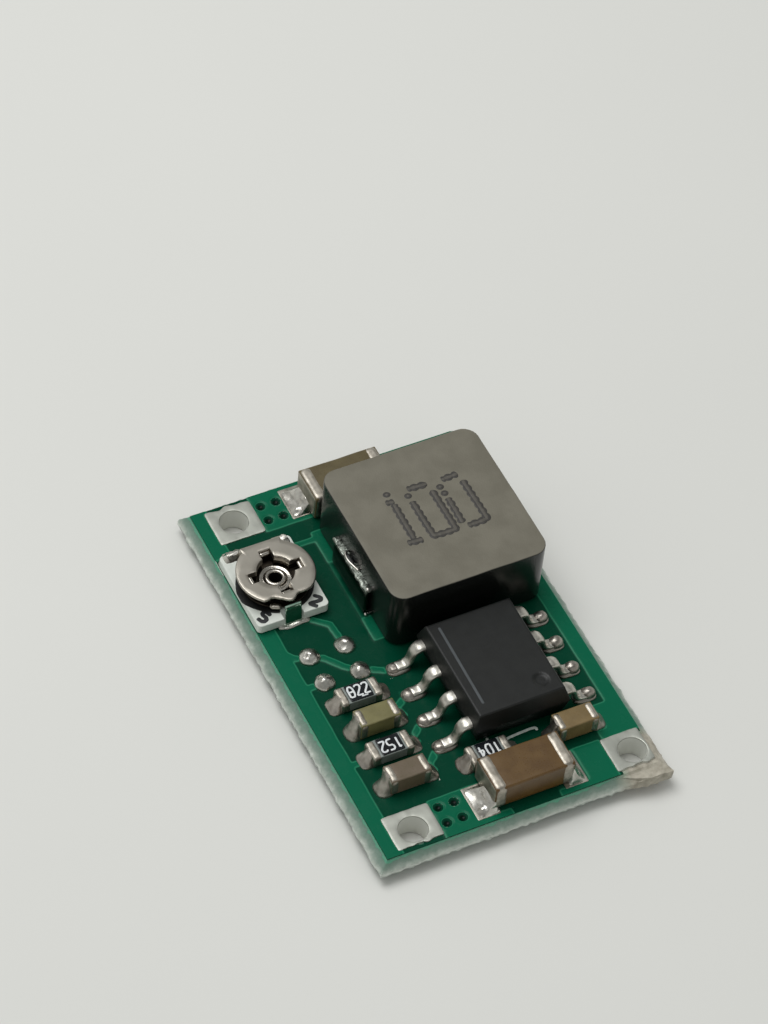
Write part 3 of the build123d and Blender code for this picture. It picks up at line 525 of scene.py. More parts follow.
# %% Sheet metals
# Rolled strip: painted dark as painted shade, with a clear streak of light where it bends.
strip_metal_painted_shade = finish("rolled_terminal_strip_painted_shade", "#3c423d", "#4a504b", 0.22, 0.05, 1.0, patch=0.3, grain=0.15,
                     relief=0.002)
# Sheared edge: rough and sparkling.
sheared_metal = finish("sheared_terminal_edge", "#6f756e", "#a9afa6", 0.48, 0.10, 1.0, patch=0.16, grain=0.10,
                       relief=0.020)
# Stamped nickel silver: an even warm satin.
nickel_sheet = finish("stamped_nickel_sheet", "#a39e94", "#afaaa0", 0.34, 0.03, 1.0, patch=0.9, grain=0.05,
                      relief=0.001)
# Drawn rivet: sharp bright rings.
rivet_metal = finish("drawn_rivet_nickel", "#aaa59c", "#c3beb6", 0.19, 0.04, 1.0, patch=0.3,
                     grain=0.06, relief=0.001)
# The lower plate, painted dark as painted shade in the slot.
well_nickel_painted_shade = finish("nickel_painted_shade", "#332e28", "#4a443c", 0.40, 0.06, 1.0, patch=0.4,
                     grain=0.08, relief=0.002)
# The steep tab: a polished strip whose green tint is a painted reflection of the green board.
tab_nickel_painted_reflection = finish("tab_painted_green_reflection", "#8fae9e", "#a3bfb0", 0.10, 0.03, 1.0, patch=0.4,
                    grain=0.10, relief=0.001)
# Painted shade in the rivet's bore: near black, it swallows the light.
bore_shade_black = finish("painted_bore_shade", "#030303", "#060605", 0.80, 0.05, IOR=1.2)
sheets = (strip_metal_painted_shade, sheared_metal, nickel_sheet, rivet_metal, well_nickel_painted_shade, tab_nickel_painted_reflection)
print("sheet metals:", [material.name for material in sheets])

# %% [markdown]
# The rest are ceramics, glass, epoxy and inks. They aren't metals, so their IOR counts: 1.5 for epoxy and
# ink, 1.52 for glass, 1.76 for alumina. Moulded epoxy is black and slightly matt from the mould. Alumina is
# fired and pale. Ink is a dull film. Laser marks are burnt powder, with a darker rim and a paler, rougher
# floor.

# %% Ceramics, epoxy and inks
# Moulded epoxy: black, with a soft sheen and no sparkle.
moulding = finish("moulded_epoxy", "#0f1110", "#151716", 0.42, 0.05, patch=0.5,
                  grain=0.05, relief=0.004, IOR=1.55)
moulding.node_tree.nodes["Principled BSDF"].inputs["Specular IOR Level"].default_value = 0.30
# Grey line on the regulator's top: a painted highlight where a bevelled edge catches the light.
bevel_highlight_bar = finish("painted_bevel_highlight_grey", "#3a3f41", "#42474a", 0.55, 0.05, IOR=1.5)
# Fired alumina: eggshell white with a faint gloss.
alumina = finish("fired_alumina", "#c9cec6", "#d6dad3", 0.38, 0.05, patch=0.6,
                 grain=0.07, relief=0.003, IOR=1.76)
# The resistors' alumina, painted a darker grey as painted shade.
resistor_alumina_painted_shade = finish("resistor_alumina_painted_shade", "#6f7773", "#848c87", 0.45, 0.05, patch=0.4,
                          grain=0.07, relief=0.002, IOR=1.6)
# Black glass: a clear, dark reflection.
glaze = finish("black_glass_glaze", "#0b0e12", "#12161b", 0.14, 0.04, grain=0.10, relief=0.003, IOR=1.52)
# Screen-printed carbon film: black and dull.
film_black = finish("resistive_film", "#0c0d0d", "#181a19", 0.42, 0.06, grain=0.05, relief=0.003)
white_ink = finish("white_code_ink", "#c9ced0", "#e0e3e2", 0.50, 0.06, patch=0.15, grain=0.05, relief=0.003)
black_ink = finish("black_value_ink", "#15181a", "#202426", 0.45, 0.05)
legend_ink = finish("board_legend_ink", "#c3cfc7", "#dde4de", 0.50, 0.06, patch=0.2, grain=0.05, relief=0.003)
laser_dark = finish("laser_burnt_edge", "#2a2825", "#34312d", 0.55, 0.10, patch=0.15,
                    grain=0.05, relief=0.006)
laser_floor = finish("laser_burnt_floor", "#45423b", "#504c45", 0.60, 0.06, patch=0.15,
                     grain=0.05, relief=0.006)
print(len(bpy.data.materials), "materials so far")

# %% [markdown]
# The tin in a wire hole looks paler than the land round it. Light falls in from above and bounces from wall
# to wall, and a metal that only mirrors would look black there. So below the lip the tin turns into a pale
# scattering surface: a share that rises over the last 0.03 mm up to the land mixes both the colour and how
# metallic it is.

# %% Tin in the wire holes
lip_low, lip_high = 0.955, 0.985
tin_tree, tin_shader, tin_spot = opened(dull_tin)
tin_z = add(tin_tree, "SeparateXYZ", {"Vector": tin_spot}).outputs["Z"]
top_share = add(tin_tree, "MapRange", {
    "Value": tin_z, "From Min": lip_low * MM, "From Max": lip_high * MM,
}).outputs["Result"]
mix_in(tin_tree, tin_shader.inputs["Base Color"], top_share, linear("#d8d9d2"))
tin_tree.links.new(top_share, tin_shader.inputs["Metallic"])
print(len(tin_tree.nodes), "nodes in the tin")

# %% [markdown]
# Snapped glass-epoxy is see-through at its edges: just under the green mask it borrows the green, and the
# broken ridge lower down is white with split fibres. Its height on the edge tells where it is, so a ramp
# over Object Z, from the underside to the top, gives the tint, and light wanders a little way into it. At
# the torn corner of the input end the glass is bare and tan, and two ramps over X and Y bring that colour
# in.

# %% Snapped glass-epoxy laminate
laminate = finish("snapped_glass_epoxy", "#8f907c", "#b4b9a6", 0.55, 0.12, patch=0.5,
                  grain=0.10, relief=0.020, IOR=1.55)
edge_tree, edge_shader, edge_spot = opened(laminate)
edge_place = add(edge_tree, "SeparateXYZ", {"Vector": edge_spot}).outputs
edge_cloud = add(edge_tree, "TexNoise", {
    "Vector": edge_spot, "Scale": 1 / (0.30 * MM), "Detail": 4.0,
}).outputs["Fac"]
edge_share = add(edge_tree, "MapRange", {
    "Value": edge_place["Z"], "From Min": 0.0, "From Max": BOARD_TOP * MM,
}).outputs[0]
edge_mixed = add(edge_tree, "Math", {
    0: edge_cloud, 1: 0.22, 2: edge_share,
}, operation="MULTIPLY_ADD").outputs["Value"]
edge_tint = add(edge_tree, "ValToRGB", {"Fac": edge_mixed}, [
    (0.22, linear("#7b8a80")), (0.50, linear("#98a399")), (0.62, linear("#ccd2ca")),
    (0.72, linear("#a3ada3")), (0.84, linear("#77897e")), (0.98, linear("#5d7a6b")),
    (1.10, linear("#4f8f74")),
])
edge_long = add(edge_tree, "Math", {0: edge_place["Y"], 1: -1.0}, operation="MULTIPLY").outputs["Value"]
edge_right = add(edge_tree, "MapRange", {
    "Value": edge_place["X"], "From Min": 3.6 * MM, "From Max": 4.3 * MM,
}).outputs[0]
edge_end = add(edge_tree, "MapRange", {
    "Value": edge_long, "From Min": 6.7 * MM, "From Max": 7.2 * MM,
}).outputs[0]
edge_corner = add(edge_tree, "Math", {0: edge_right, 1: edge_end}, operation="MULTIPLY").outputs["Value"]
edge_tan = add(edge_tree, "ValToRGB", {"Fac": edge_cloud}, [
    (0.35, linear("#8f897a")), (0.65, linear("#b4ae9f")),
])
edge_final = add(edge_tree, "Mix", {
    0: edge_corner, 6: edge_tint.outputs["Color"], 7: edge_tan.outputs["Color"],
}, data_type="RGBA")
edge_tree.links.new(edge_final.outputs[2], edge_shader.inputs["Base Color"])
edge_shader.inputs["Subsurface Weight"].default_value = 0.15
edge_shader.inputs["Subsurface Scale"].default_value = 0.3 * MM
edge_shader.inputs["Subsurface Radius"].default_value = (1.0, 1.0, 1.0)
print(len(edge_tree.nodes), "nodes in the laminate's material")

# %% [markdown]
# The inductor's core is pressed from coated iron powder. Its top is a lighter grey-brown, and its sides are
# painted near black, as painted shade where the light from above doesn't fall; the sides are also a little
# shiny from the die. One material does both: it reads how far the surface faces up.

# %% Pressed iron powder
core_powder = finish("pressed_iron_powder", "#625e51", "#6b675a", 0.50, 0.06, patch=0.9,
                     grain=0.06, relief=0.006)
core_tree, core_shader = opened(core_powder)[:2]
core_normal = add(core_tree, "NewGeometry").outputs["Normal"]
facing = add(core_tree, "SeparateXYZ", {"Vector": core_normal}).outputs["Z"]
lit_top_share = add(core_tree, "MapRange", {"Value": facing, "From Min": 0.55, "From Max": 0.95}).outputs["Result"]
# Faces that turn away from the top get a near-black colour: painted shade on the core's sides.
mix_in(core_tree, core_shader.inputs["Base Color"], lit_top_share, linear("#0c0e0c"))
mix_in(core_tree, core_shader.inputs["Roughness"], lit_top_share, 0.22, "FLOAT")
print(len(core_tree.nodes), "nodes in the core's material")

# %% [markdown]
# A chip capacitor is a stack of thin ceramic and metal layers, pressed and fired into one brown block with
# a faint gloss. The blocks are fired in batches, and no two have quite the same brown, so each gets a
# finish of its own.

# %% Capacitor browns
capacitor_browns = {
    "input_capacitor": ("#523a18", "#5c4420"),
    "output_capacitor": ("#544a30", "#5e5438"),
    "upper_capacitor": ("#6a6540", "#757048"),
    "lower_capacitor": ("#5d5240", "#66594a"),
    "boost_capacitor": ("#6d5b39", "#786541"),
}
capacitor_ceramic = {}
for name, (colour, other) in capacitor_browns.items():
    capacitor_ceramic[name] = finish("fired_ceramic_" + name, colour, other, 0.32, 0.06, patch=0.5,
                                     grain=0.05, relief=0.003, IOR=1.7, **{"Specular IOR Level": 0.3})
print(len(capacitor_ceramic), "browns")

# %% [markdown]
# The mask is one lacquered sheet that dips between the copper tracks. Its height is read from the CAD mask:
# every level triangle marks the cells of a fine grid that it covers, and a cell that no triangle covers
# stays empty. That is where the mask has an opening.

# %% Height map of a CAD node's level faces
def height_map(node, cell, facing):
    """Grid of heights in mm: each level triangle marks the cells whose centres lie inside its three edges."""
    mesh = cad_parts[node].data
    mesh.calc_loop_triangles()
    corners = np.zeros(len(mesh.vertices) * 3)
    mesh.vertices.foreach_get("co", corners)
    index = np.zeros(len(mesh.loop_triangles) * 3, int)
    mesh.loop_triangles.foreach_get("vertices", index)
    triangles = corners.reshape(-1, 3)[index.reshape(-1, 3)] / MM
    normal = np.cross(triangles[:, 1] - triangles[:, 0], triangles[:, 2] - triangles[:, 0])
    level = normal[:, 2] * facing > 0.999 * np.linalg.norm(normal, axis=1)
    columns, rows = round(2 * half_width / cell), round(2 * half_length / cell)
    x = -half_width + cell * (np.arange(columns) + 0.5)
    y = -half_length + cell * (np.arange(rows) + 0.5)
    heights = np.full((rows, columns), np.nan)
    for a, b, c in triangles[level]:
        i0, i1 = np.searchsorted(x, [min(a[0], b[0], c[0]), max(a[0], b[0], c[0])])
        j0, j1 = np.searchsorted(y, [min(a[1], b[1], c[1]), max(a[1], b[1], c[1])])
        grid_x, grid_y = np.meshgrid(x[i0:i1], y[j0:j1])
        inside = np.ones(grid_x.shape, bool)
        for p, q in ((a, b), (b, c), (c, a)):
            turn = (q[0] - p[0]) * (grid_y - p[1]) - (q[1] - p[1]) * (grid_x - p[0])
            inside &= turn * facing >= 0
        window = heights[j0:j1, i0:i1]
        window[inside] = np.fmax(window[inside] * facing, a[2] * facing) * facing
    return x, y, heights


top_cells = height_map("solder_mask_top", 0.2, 1)[2]
print("the mask covers", round(100 * float(np.isfinite(top_cells).mean())), "% of the board's top")

# %% [markdown]
# Lacquer flows over a copper edge and leaves a soft slope that catches the light. A Gaussian blur of the
# height map does the same. It is done on the map's frequencies, so its cost doesn't grow with its width.

# %% Blurred heights
def blurred(heights, cells):
    """Heights after a Gaussian blur of that many cells: a frequency f is scaled by exp(-2 (pi cells f)^2)."""
    pad = int(4 * cells) + 1
    wide = np.pad(heights, pad, mode="edge")
    fy = np.fft.fftfreq(wide.shape[0])[:, None]
    fx = np.fft.rfftfreq(wide.shape[1])[None]
    wave = np.fft.rfft2(wide) * np.exp(-2 * (math.pi * cells) ** 2 * (fx**2 + fy**2))
    return np.fft.irfft2(wave, s=wide.shape)[pad:-pad, pad:-pad]


step = np.repeat([[0.0] * 10 + [1.0] * 10], 20, axis=0)
print("a step of 1 blurs to", blurred(step, 1.7)[10, 8:12].round(2))

# %% [markdown]
# Drills go through the stacked panel before it is plated. Each corner has a hole for a wire, and eight
# small vias join the copper of the minus side from top to bottom. At one corner of the input end the torn
# panel took the lacquer with it, so the glass lies bare there.

# %% Wire holes, vias and the bare corner
hole_radius = 0.55
wire_holes = {}
for name, x, y in (("input_minus", -4.09, -7.70), ("input_plus", 4.81, -7.70),
                   ("output_minus", -4.09, 7.60), ("output_plus", 4.81, 7.60)):
    wire_holes[name] = np.array([x, y])
via_low, via_high = span("plated_vias")
via_centres = [(x, sign * y) for x in (-2.845, -2.215) for y in (7.19, 7.91) for sign in (-1, 1)]
bare_left, bare_far = 4.02, -6.99
print("vias lie between", via_low.round(2), "and", via_high.round(2))

# %% [markdown]
# The lacquer sheet is a grid over the whole face, whose border is turned down into the laminate so that no
# gap shows at the edge. Lacquer sinks into a via and leaves a dimple with a faint raised ring. The faces
# over a wire hole are left out, because the tinned land is a piece of its own.

# %% Lacquer sheets
over_opening, on_bare_glass, under_opening = 0.975, 0.90, 0.022  # heights in mm


def sheet(name, node, cell, facing, material, nodes):
    """One open sheet of lacquer over a face of the board, with its border turned down into the laminate."""
    x, y, heights = height_map(node, cell / 2, facing)
    grid_x, grid_y = np.meshgrid(x, y)
    if facing > 0:
        heights = np.where(np.isnan(heights), over_opening, heights)
        heights[(grid_x > bare_left) & (grid_y < bare_far)] = on_bare_glass
    else:
        heights = np.where(np.isnan(heights), under_opening, 0.0)
    for centre_x, centre_y in via_centres:
        away = np.hypot(grid_x - centre_x, grid_y - centre_y)
        dip = 0.11 * np.clip(1.25 - away / 0.19, 0, 1) - 0.016 * np.exp(-((away - 0.27) / 0.06) ** 2)
        heights = heights - facing * dip
    heights = np.maximum(blurred(heights, 1.7)[::2, ::2], 0.004)
    x, y = x[::2], y[::2]
    x[0], x[-1], y[0], y[-1] = -half_width, half_width, -half_length, half_length
    x = np.concatenate([x[:1], x, x[-1:]])
    y = np.concatenate([y[:1], y, y[-1:]])
    heights = np.pad(heights, 1, constant_values=0.5 + facing * 0.40)
    grid_x, grid_y = np.meshgrid(x, y)
    points = np.stack([grid_x, grid_y, heights], axis=-1)
    points[1:-1, 1:-1, 2] += 0.0025 * lumps(points[1:-1, 1:-1], 1.3, 5)
    rows, columns = heights.shape
    quads = grid_faces(rows, columns, close_columns=False)
    points = points.reshape(-1, 3)
    centres = points[quads].mean(axis=1)[:, :2]
    keep = np.ones(len(quads), bool)
    for hole in wire_holes.values():
        keep &= np.linalg.norm(centres - hole, axis=1) > hole_radius + 0.12
    quads = quads[keep] if facing > 0 else quads[keep][:, ::-1]
    return piece(name, [(points, quads, [])], material, nodes, sharp=60)


sheet("solder_mask_sheet", "solder_mask_top", 0.05, 1, mask_green, ["solder_mask_top", "plated_vias"])
sheet("solder_mask_underside", "copper_bottom", 0.10, -1, mask_green_under, ["solder_mask_bottom"])
dressed("copper_top", dull_tin)
dressed("copper_bottom", dull_tin)

# %% [markdown]
# Boards are made side by side in a panel that is scored from both faces and snapped. The break leaves a
# ragged ridge half way up the edge, and a torn web at one corner of the input end. The CAD laminate has the
# plain form. A skin is laid round it: a closed profile carried round the board's outline. First comes the
# outline, and how far the ridge reaches out at each of its points.

# %% Outline and reach of the snapped edge
def web_share(x):
    """How much of the torn web is there at a place along an end: 0 to the left of it, 1 on it."""
    return np.clip((x - 3.80) / 1.05, 0, 1)


outline_steps = 620
track = rounded_rectangle(half_width, half_length, 0.02, along=outline_steps // 4, turn=3)[0]
ridge_side, ridge_end, web_reach = 0.36, 0.29, 0.50
on_end = np.clip((np.abs(track[:, 1]) - half_length + 0.03) / 0.03, 0, 1)
web = web_share(track[:, 0]) * on_end * (track[:, 1] < 0)
reach_y = ridge_end + (web_reach - ridge_end) * web
near_side = np.sign(track[:, 0]) * (np.abs(track[:, 0]) / half_width) ** 24
near_end = np.sign(track[:, 1]) * (np.abs(track[:, 1]) / half_length) ** 60
print(len(track), "points round the board,", int((web > 0.5).sum()), "of them on the torn web")

# %% [markdown]
# The profile runs from under the bottom edge, out over the ridge and back under the lacquer. Each of its
# points has a share of the reach, a height in millimetres, and how far the torn web lifts it. Lumps of two
# sizes then push the ridge in and out, the large ones for the wandering of the break and the small ones for
# its torn fibres.

# %% Snapped edge
profile = np.array([
    [-0.10, 0.10, 0.0], [0.0, 0.075, 0.0], [0.5, 0.22, 0.0], [1.0, 0.39, 0.0], [1.03, 0.42, 0.1],
    [1.04, 0.46, 0.45], [1.04, 0.50, 0.75], [1.02, 0.56, 0.98], [0.94, 0.60, 1.0], [0.72, 0.70, 0.93],
    [0.48, 0.78, 0.85], [0.24, 0.86, 0.80], [0.0, 0.935, 0.0], [-0.10, 0.90, 0.0],
])
rings = np.zeros((len(profile), len(track), 3))
for row, (out, plain_z, lift) in enumerate(profile):
    rings[row, :, 0] = track[:, 0] + out * (near_side * ridge_side)
    rings[row, :, 1] = track[:, 1] + out * (near_end * reach_y)
    rings[row, :, 2] = plain_z + (0.85 - plain_z) * web * lift * (plain_z > 0.43)
ragged = lumps(rings, 0.9, 21) * 0.030 + lumps(rings, 0.24, 22) * 0.032
amount = np.clip(profile[:, 0], 0, 1)[:, None] * ragged
rings[..., 0] += amount * near_side
rings[..., 1] += amount * near_end
rings[1:-1, :, 2] += np.clip(profile[1:-1, :1], 0, 1) * lumps(rings[1:-1], 0.32, 23) * 0.040
piece("snapped_edge", [tyre(rings)], laminate, sharp=50)

# %% [markdown]
# Inside that skin lies the laminate's core. It is the CAD laminate, except that nothing torn shows at the
# output end of the real board. The points that stand out there are drawn in behind the ragged skin.

# %% Laminate core
board_mesh = merged_copy("circuit_board")
corners = np.zeros(len(board_mesh.vertices) * 3)
board_mesh.vertices.foreach_get("co", corners)
corners = corners.reshape(-1, 3)
beyond = corners[:, 1] > (half_length + 0.04) * MM
corners[beyond, 1] = np.minimum(corners[beyond, 1], (half_length + 0.20) * MM)
corners[beyond, 2] = np.minimum(corners[beyond, 2], 0.55 * MM)
board_mesh.vertices.foreach_set("co", corners.ravel())
placed("laminate_core", board_mesh, laminate, ["circuit_board"], "board")
print(int(beyond.sum()), "points of the core drawn in at the output end")

# %% [markdown]
# Each wire hole has a plated wall and a tinned land on both faces. Tin that melted runs to a shallow crown
# and thins out at the rim, and the end nearest the board's edge is wavy. The land is a tyre round the hole:
# for every direction, its outer reach is the distance to the land's outline, and the same rings make the
# wall of the hole.

# %% Tinned wire lands
def land_skin(name, centre, left, right, inner, outer, end):
    """Tyre round a wire hole: a profile runs up the wall, over the lip, out to the outline and under."""
    angle = np.linspace(0, 2 * math.pi, 240, endpoint=False)
    c, s = np.cos(angle), np.sin(angle)
    wave = 0.04 * np.sin(5.0 * angle + 0.6) + 0.03 * np.sin(9.0 * angle)
    reach_x = np.where(c > 0, right, left) / np.maximum(np.abs(c), 1e-3)
    towards_edge = s * end > 0
    reach_y = np.where(towards_edge, outer + wave, inner) / np.maximum(np.abs(s), 1e-3)
    reach = (reach_x**-24.0 + reach_y**-24.0) ** (-1 / 24.0)
    reach = np.maximum(reach, hole_radius + 0.075)
    hole = hole_radius + 0.0 * reach
    share = np.array([
        0, 0, 0, 0.03, 0.12, 0.3, 0.5, 0.7, 0.88, 0.97, 1, 1, 0.97, 0.97, 1, 1, 0.9, 0.5, 0.1, 0.03, 0,
    ])
    height = np.array([
        0.5, 0.9, 0.985, 1.010, 1.014, 1.016, 1.016, 1.016, 1.015, 1.010, 0.99, 0.94, 0.90, 0.10, 0.06, 0.03,
        0.002, 0.0, 0.0, 0.004, 0.05,
    ])
    radius = hole + share[:, None] * (reach - hole)
    x = centre[0] + radius * c
    y = centre[1] + radius * s
    z = height[:, None] + 0 * radius
    rings = np.stack([x, y, z], axis=-1)
    top = (height > 1.0)[:, None]
    rings[..., 2] += top * (0.004 * lumps(rings, 0.9, 31) + 0.002)
    rings[..., :2] += (share > 0.8)[:, None, None] * 0.006 * lumps(rings, 0.5, 32)[..., None]
    return tyre(rings)


for name, centre in wire_holes.items():
    low, high = span("wire_land_" + name)
    end = -1 if centre[1] < 0 else 1
    inner = abs((high[1] if end < 0 else low[1]) - centre[1])
    outer = abs((low[1] if end < 0 else high[1]) - centre[1])
    skin = land_skin(name, centre, centre[0] - low[0], high[0] - centre[0], inner, outer, end)
    piece("tinned_land_" + name, [skin], dull_tin, ["wire_land_" + name])

# %% [markdown]
# The inductor is the tallest part, a rounded square block pressed round its coil. Only its top edge and
# corners are rounded by the die. Its rings run up the side, over the top edge and across the top, and a
# little unevenness keeps the flat top from looking like glass. Such blocks swell a little when they leave
# the die, and the placing machine sets them down a little off their lands, so this one is 0.02 and 0.10 mm
# larger and 0.03 and 0.11 mm aside.

# %% Inductor core
core_low, core_high = span("inductor_body")
core_middle = (core_low + core_high) / 2
core_half = (core_high[0] - core_low[0]) / 2
core_middle[:2] += np.array([-0.03, 0.11])
core_rings = block(core_half + 0.02, core_half + 0.10, 0.60, core_low[2], core_high[2], 0.045,
                   fill=14, along=20)
core_rings += 0.006 * lumps(core_rings, 2.2, 41)[..., None]
core_rings[..., :2] += core_middle[:2]
piece("inductor_core", [pile(core_rings)], core_powder, ["inductor_body"])

# %% [markdown]
# The value number on the inductor is burnt in by a laser that fires in dots. The dots melt into strokes
# that keep a scalloped edge, with a darker rim and a paler floor. Each stroke is a flat bar that swells at
# every dot, drawn once for the rim and once, narrower and a hair higher, for the floor.

# %% Laser-burnt number
dot_pitch = 0.30
dot_width = 0.30


def scallops(distance):
    """Width factor along a dotted stroke: 0.76 between the dots and 1.14 on them."""
    return 0.76 + 0.38 * np.abs(np.cos(math.pi * distance / dot_pitch))


burnt_strokes = [
    [(0.40, 4.20), (0.74, 4.14)], [(0.66, 4.05), (0.63, 2.28)], [(0.32, 2.18), (0.94, 2.13)],
    [(1.43, 4.50), (2.24, 4.46)],
    [(1.35, 3.92), (1.36, 2.20), (1.40, 2.11), (2.24, 2.09), (2.29, 2.16), (2.27, 4.12)],
    [(2.82, 4.42), (3.52, 4.46)], [(2.66, 3.56), (2.64, 2.26)],
    [(2.76, 2.07), (3.54, 2.08), (3.59, 2.16), (3.54, 4.12)],
]
burnt_dots = [(0.62, 4.56), (1.33, 4.20), (2.63, 4.14), (2.65, 3.80)]
burnt_skins = {}
for name, width, lift in (("edge", dot_width, 0.002), ("floor", 0.44 * dot_width, 0.008)):
    burnt_skins[name] = []
    mark_z = core_high[2] + lift
    for stroke in burnt_strokes:
        path = eased([(x, y, mark_z) for x, y in stroke], 1)
        rings = bar(path, width, 0.026, steps=90, blunt=0.10, power=2.0, swell=scallops)
        burnt_skins[name].append(pile(rings))
    for x, y in burnt_dots:
        path = [(x - width / 2, y, mark_z), (x + width / 2, y, mark_z)]
        burnt_skins[name].append(pile(bar(path, 0.9 * width, 0.026, steps=6, blunt=width / 2, power=2.0)))
piece("inductor_value_mark", burnt_skins["edge"], laser_dark)
piece("inductor_value_mark_floor", burnt_skins["floor"], laser_floor)

# %% [markdown]
# The inductor's terminals are strips of plated copper, bent down its two sides and under it, with a tight
# bend at the board. Each is a wide bar along that path. Its upper end was sheared, so lumps roughen it from
# 2.05 mm up.

# %% Inductor terminals
STRIP = 0.16  # mm, thickness of the strip


def terminal_place(side, name):
    """Middle of the strip's outer wall, the core's wall beside it, its middle along Y and its top, in mm."""
    low, high = span("inductor_terminal_" + name)
    outer_x = (low[0] if side < 0 else high[0]) - side * STRIP / 2
    wall_x = core_middle[0] + side * (core_half + 0.02)
    return outer_x, wall_x, (low[1] + high[1]) / 2 + 0.05, high[2]


for side, name in ((-1, "left"), (1, "right")):
    low, high = span("inductor_terminal_" + name)
    outer_x, wall_x, y, top = terminal_place(side, name)
    foot_z = BOARD_TOP + STRIP / 2
    path = eased([
        (wall_x - side * 0.25, y, top - 0.08), (outer_x, y, top - 0.08), (outer_x, y, 1.20),
        (outer_x, y, foot_z), (outer_x - side * 0.12, y, foot_z), (outer_x - side * 1.6, y, foot_z),
    ], 4)
    rings = bar(path, high[1] - low[1], STRIP, across=(0, 1, 0), steps=70, blunt=0.05, power=12, around=96)
    upper = np.clip((rings[..., 2] - 2.05) / 0.25, 0, 1)
    rings[..., 2] += upper * 0.035 * lumps(rings, 0.42, 51)
    rings[..., 0] += side * upper * 0.030 * lumps(rings, 0.30, 52)
    piece("inductor_terminal_strip_" + name, [pile(rings)], strip_metal_painted_shade, ["inductor_terminal_" + name])

# %% [markdown]
# Where the strip leaves the core it is welded to the coil's wire. The weld is a rough ledge, the wire's end
# curls over it in a thin bright loop round a hollow whose shade is painted as a black bar, and small beads
# of metal sit at its ends.

# %% Welds and wire ends
ledge_half = 1.42
wire_skins, ledge_skins, weld_shade_skins = [], [], []
for side, name in ((-1, "left"), (1, "right")):
    outer_x, wall_x, y, top = terminal_place(side, name)
    ledge_x = (wall_x + outer_x) / 2 + side * 0.03
    ledge = [(ledge_x, y - ledge_half, top - 0.03), (ledge_x, y + ledge_half, top - 0.03)]
    rings = bar(ledge, 0.30, 0.15, steps=110, blunt=0.05, power=5.0, around=24)
    rings[..., 2] += 0.030 * lumps(rings, 0.34, 53) + 0.012 * lumps(rings, 0.12, 54)
    rings[..., 0] += 0.022 * lumps(rings, 0.40, 55)
    ledge_skins.append(pile(rings))
    knob = [(ledge_x, y - 1.40, top + 0.02), (ledge_x, y - 1.22, top + 0.02)]
    wire_skins.append(pile(bar(knob, 0.16, 0.14, steps=8, blunt=0.07, power=2.0)))
    wire = eased([
        (wall_x + side * 0.02, y + 0.62, top + 0.05), (ledge_x + side * 0.06, y + 0.52, top + 0.09),
        (ledge_x + side * 0.12, y + 0.20, top + 0.10), (ledge_x + side * 0.04, y - 0.12, top + 0.09),
        (wall_x + side * 0.04, y - 0.42, top + 0.07),
    ])
    wire_skins.append(pile(bar(wire, 0.09, 0.08, steps=40, blunt=0.04, power=2.0)))
    # A black bar under the wire's loop is painted shade in its hollow.
    hollow = [(wall_x + side * 0.08, y + 0.50, top + 0.035), (wall_x + side * 0.08, y - 0.02, top + 0.035)]
    weld_shade_skins.append(pile(bar(hollow, 0.17, 0.07, steps=16, blunt=0.08, power=2.0)))
    foot = (outer_x + side * 0.02, y - 1.44)
    ball = [(foot[0] - 0.06, foot[1], 1.09), (foot[0] + 0.06, foot[1], 1.09)]
    wire_skins.append(pile(bar(ball, 0.13, 0.13, steps=6, blunt=0.055, power=2.0)))
piece("coil_wire_ends", wire_skins, bright_solder, ["inductor_coil"])
piece("terminal_weld_ledges", ledge_skins, sheared_metal)
piece("terminal_weld_painted_shade", weld_shade_skins, film_black)

# %% [markdown]
# The regulator's body is moulded in two halves that part at the leads, so both its top and its bottom lean
# inwards. A shallow round dimple marks the first lead. The rings cross the top close together, and the
# dimple is pressed into them as a bowl.

# %% Regulator body
body_low, body_high = span("regulator_body")
body_middle = (body_low + body_high) / 2
parting_z = 1.90
lean = 0.20
edge = 0.07
quarter = np.linspace(0, math.pi / 2, 5)
crossing = np.linspace(0, 1, 44)[1:] * 1.62
inset = np.concatenate([
    [lean + 0.05, lean], [0.0, 0.0], lean + edge * (1 - np.cos(quarter)), lean + edge + crossing,
])
z = np.concatenate([
    [body_low[2], body_low[2] + 0.04], [parting_z - 0.012, parting_z + 0.012],
    body_high[2] - edge * (1 - np.sin(quarter)), np.full(43, body_high[2]),
])
half = (body_high - body_low)[:2] / 2
rings = stepped(half[0], half[1], 0.10, inset, z, along=60)
rings[..., :2] += body_middle[:2]
dimple_inset, dimple_radius, dimple_depth = 0.86, 0.30, 0.055
dimple_x = body_high[0] - dimple_inset
dimple_y = body_low[1] + dimple_inset
print("dimple at", round(float(dimple_x), 2), round(float(dimple_y), 2), "mm")
away = np.hypot(rings[..., 0] - dimple_x, rings[..., 1] - dimple_y)
bowl = np.clip(1.15 - (away / dimple_radius) ** 4, 0, 1)
rings[..., 2] -= dimple_depth * bowl * (rings[..., 2] > 2.4)
piece("regulator_moulding", [pile(rings)], moulding, ["regulator_body"])
# A grey line near the left edge of the top is a painted highlight of a bevelled edge.
bar_path = [(0.16, -0.95, body_high[2]), (0.10, -4.68, body_high[2])]
piece("regulator_painted_highlight_bar", [pile(bar(bar_path, 0.10, 0.008, blunt=0.03))], bevel_highlight_bar)

# %% [markdown]
# Gull-wing leads are stamped and bent from tinned strip: level out of the body, down, and level again on
# the board. Each is a bar carried along that bent path with rounded corners, and the tin is thickest on its
# shoulder.

# %% Regulator leads
def lead_place(number):
    """Side of the body that a lead is on, its middle along Y, the X of its toe and its width, in mm."""
    low, high = span(f"regulator_lead_{number}")
    side = 1 if low[0] > body_middle[0] else -1
    return side, (low[1] + high[1]) / 2, high[0] if side > 0 else low[0], high[1] - low[1]


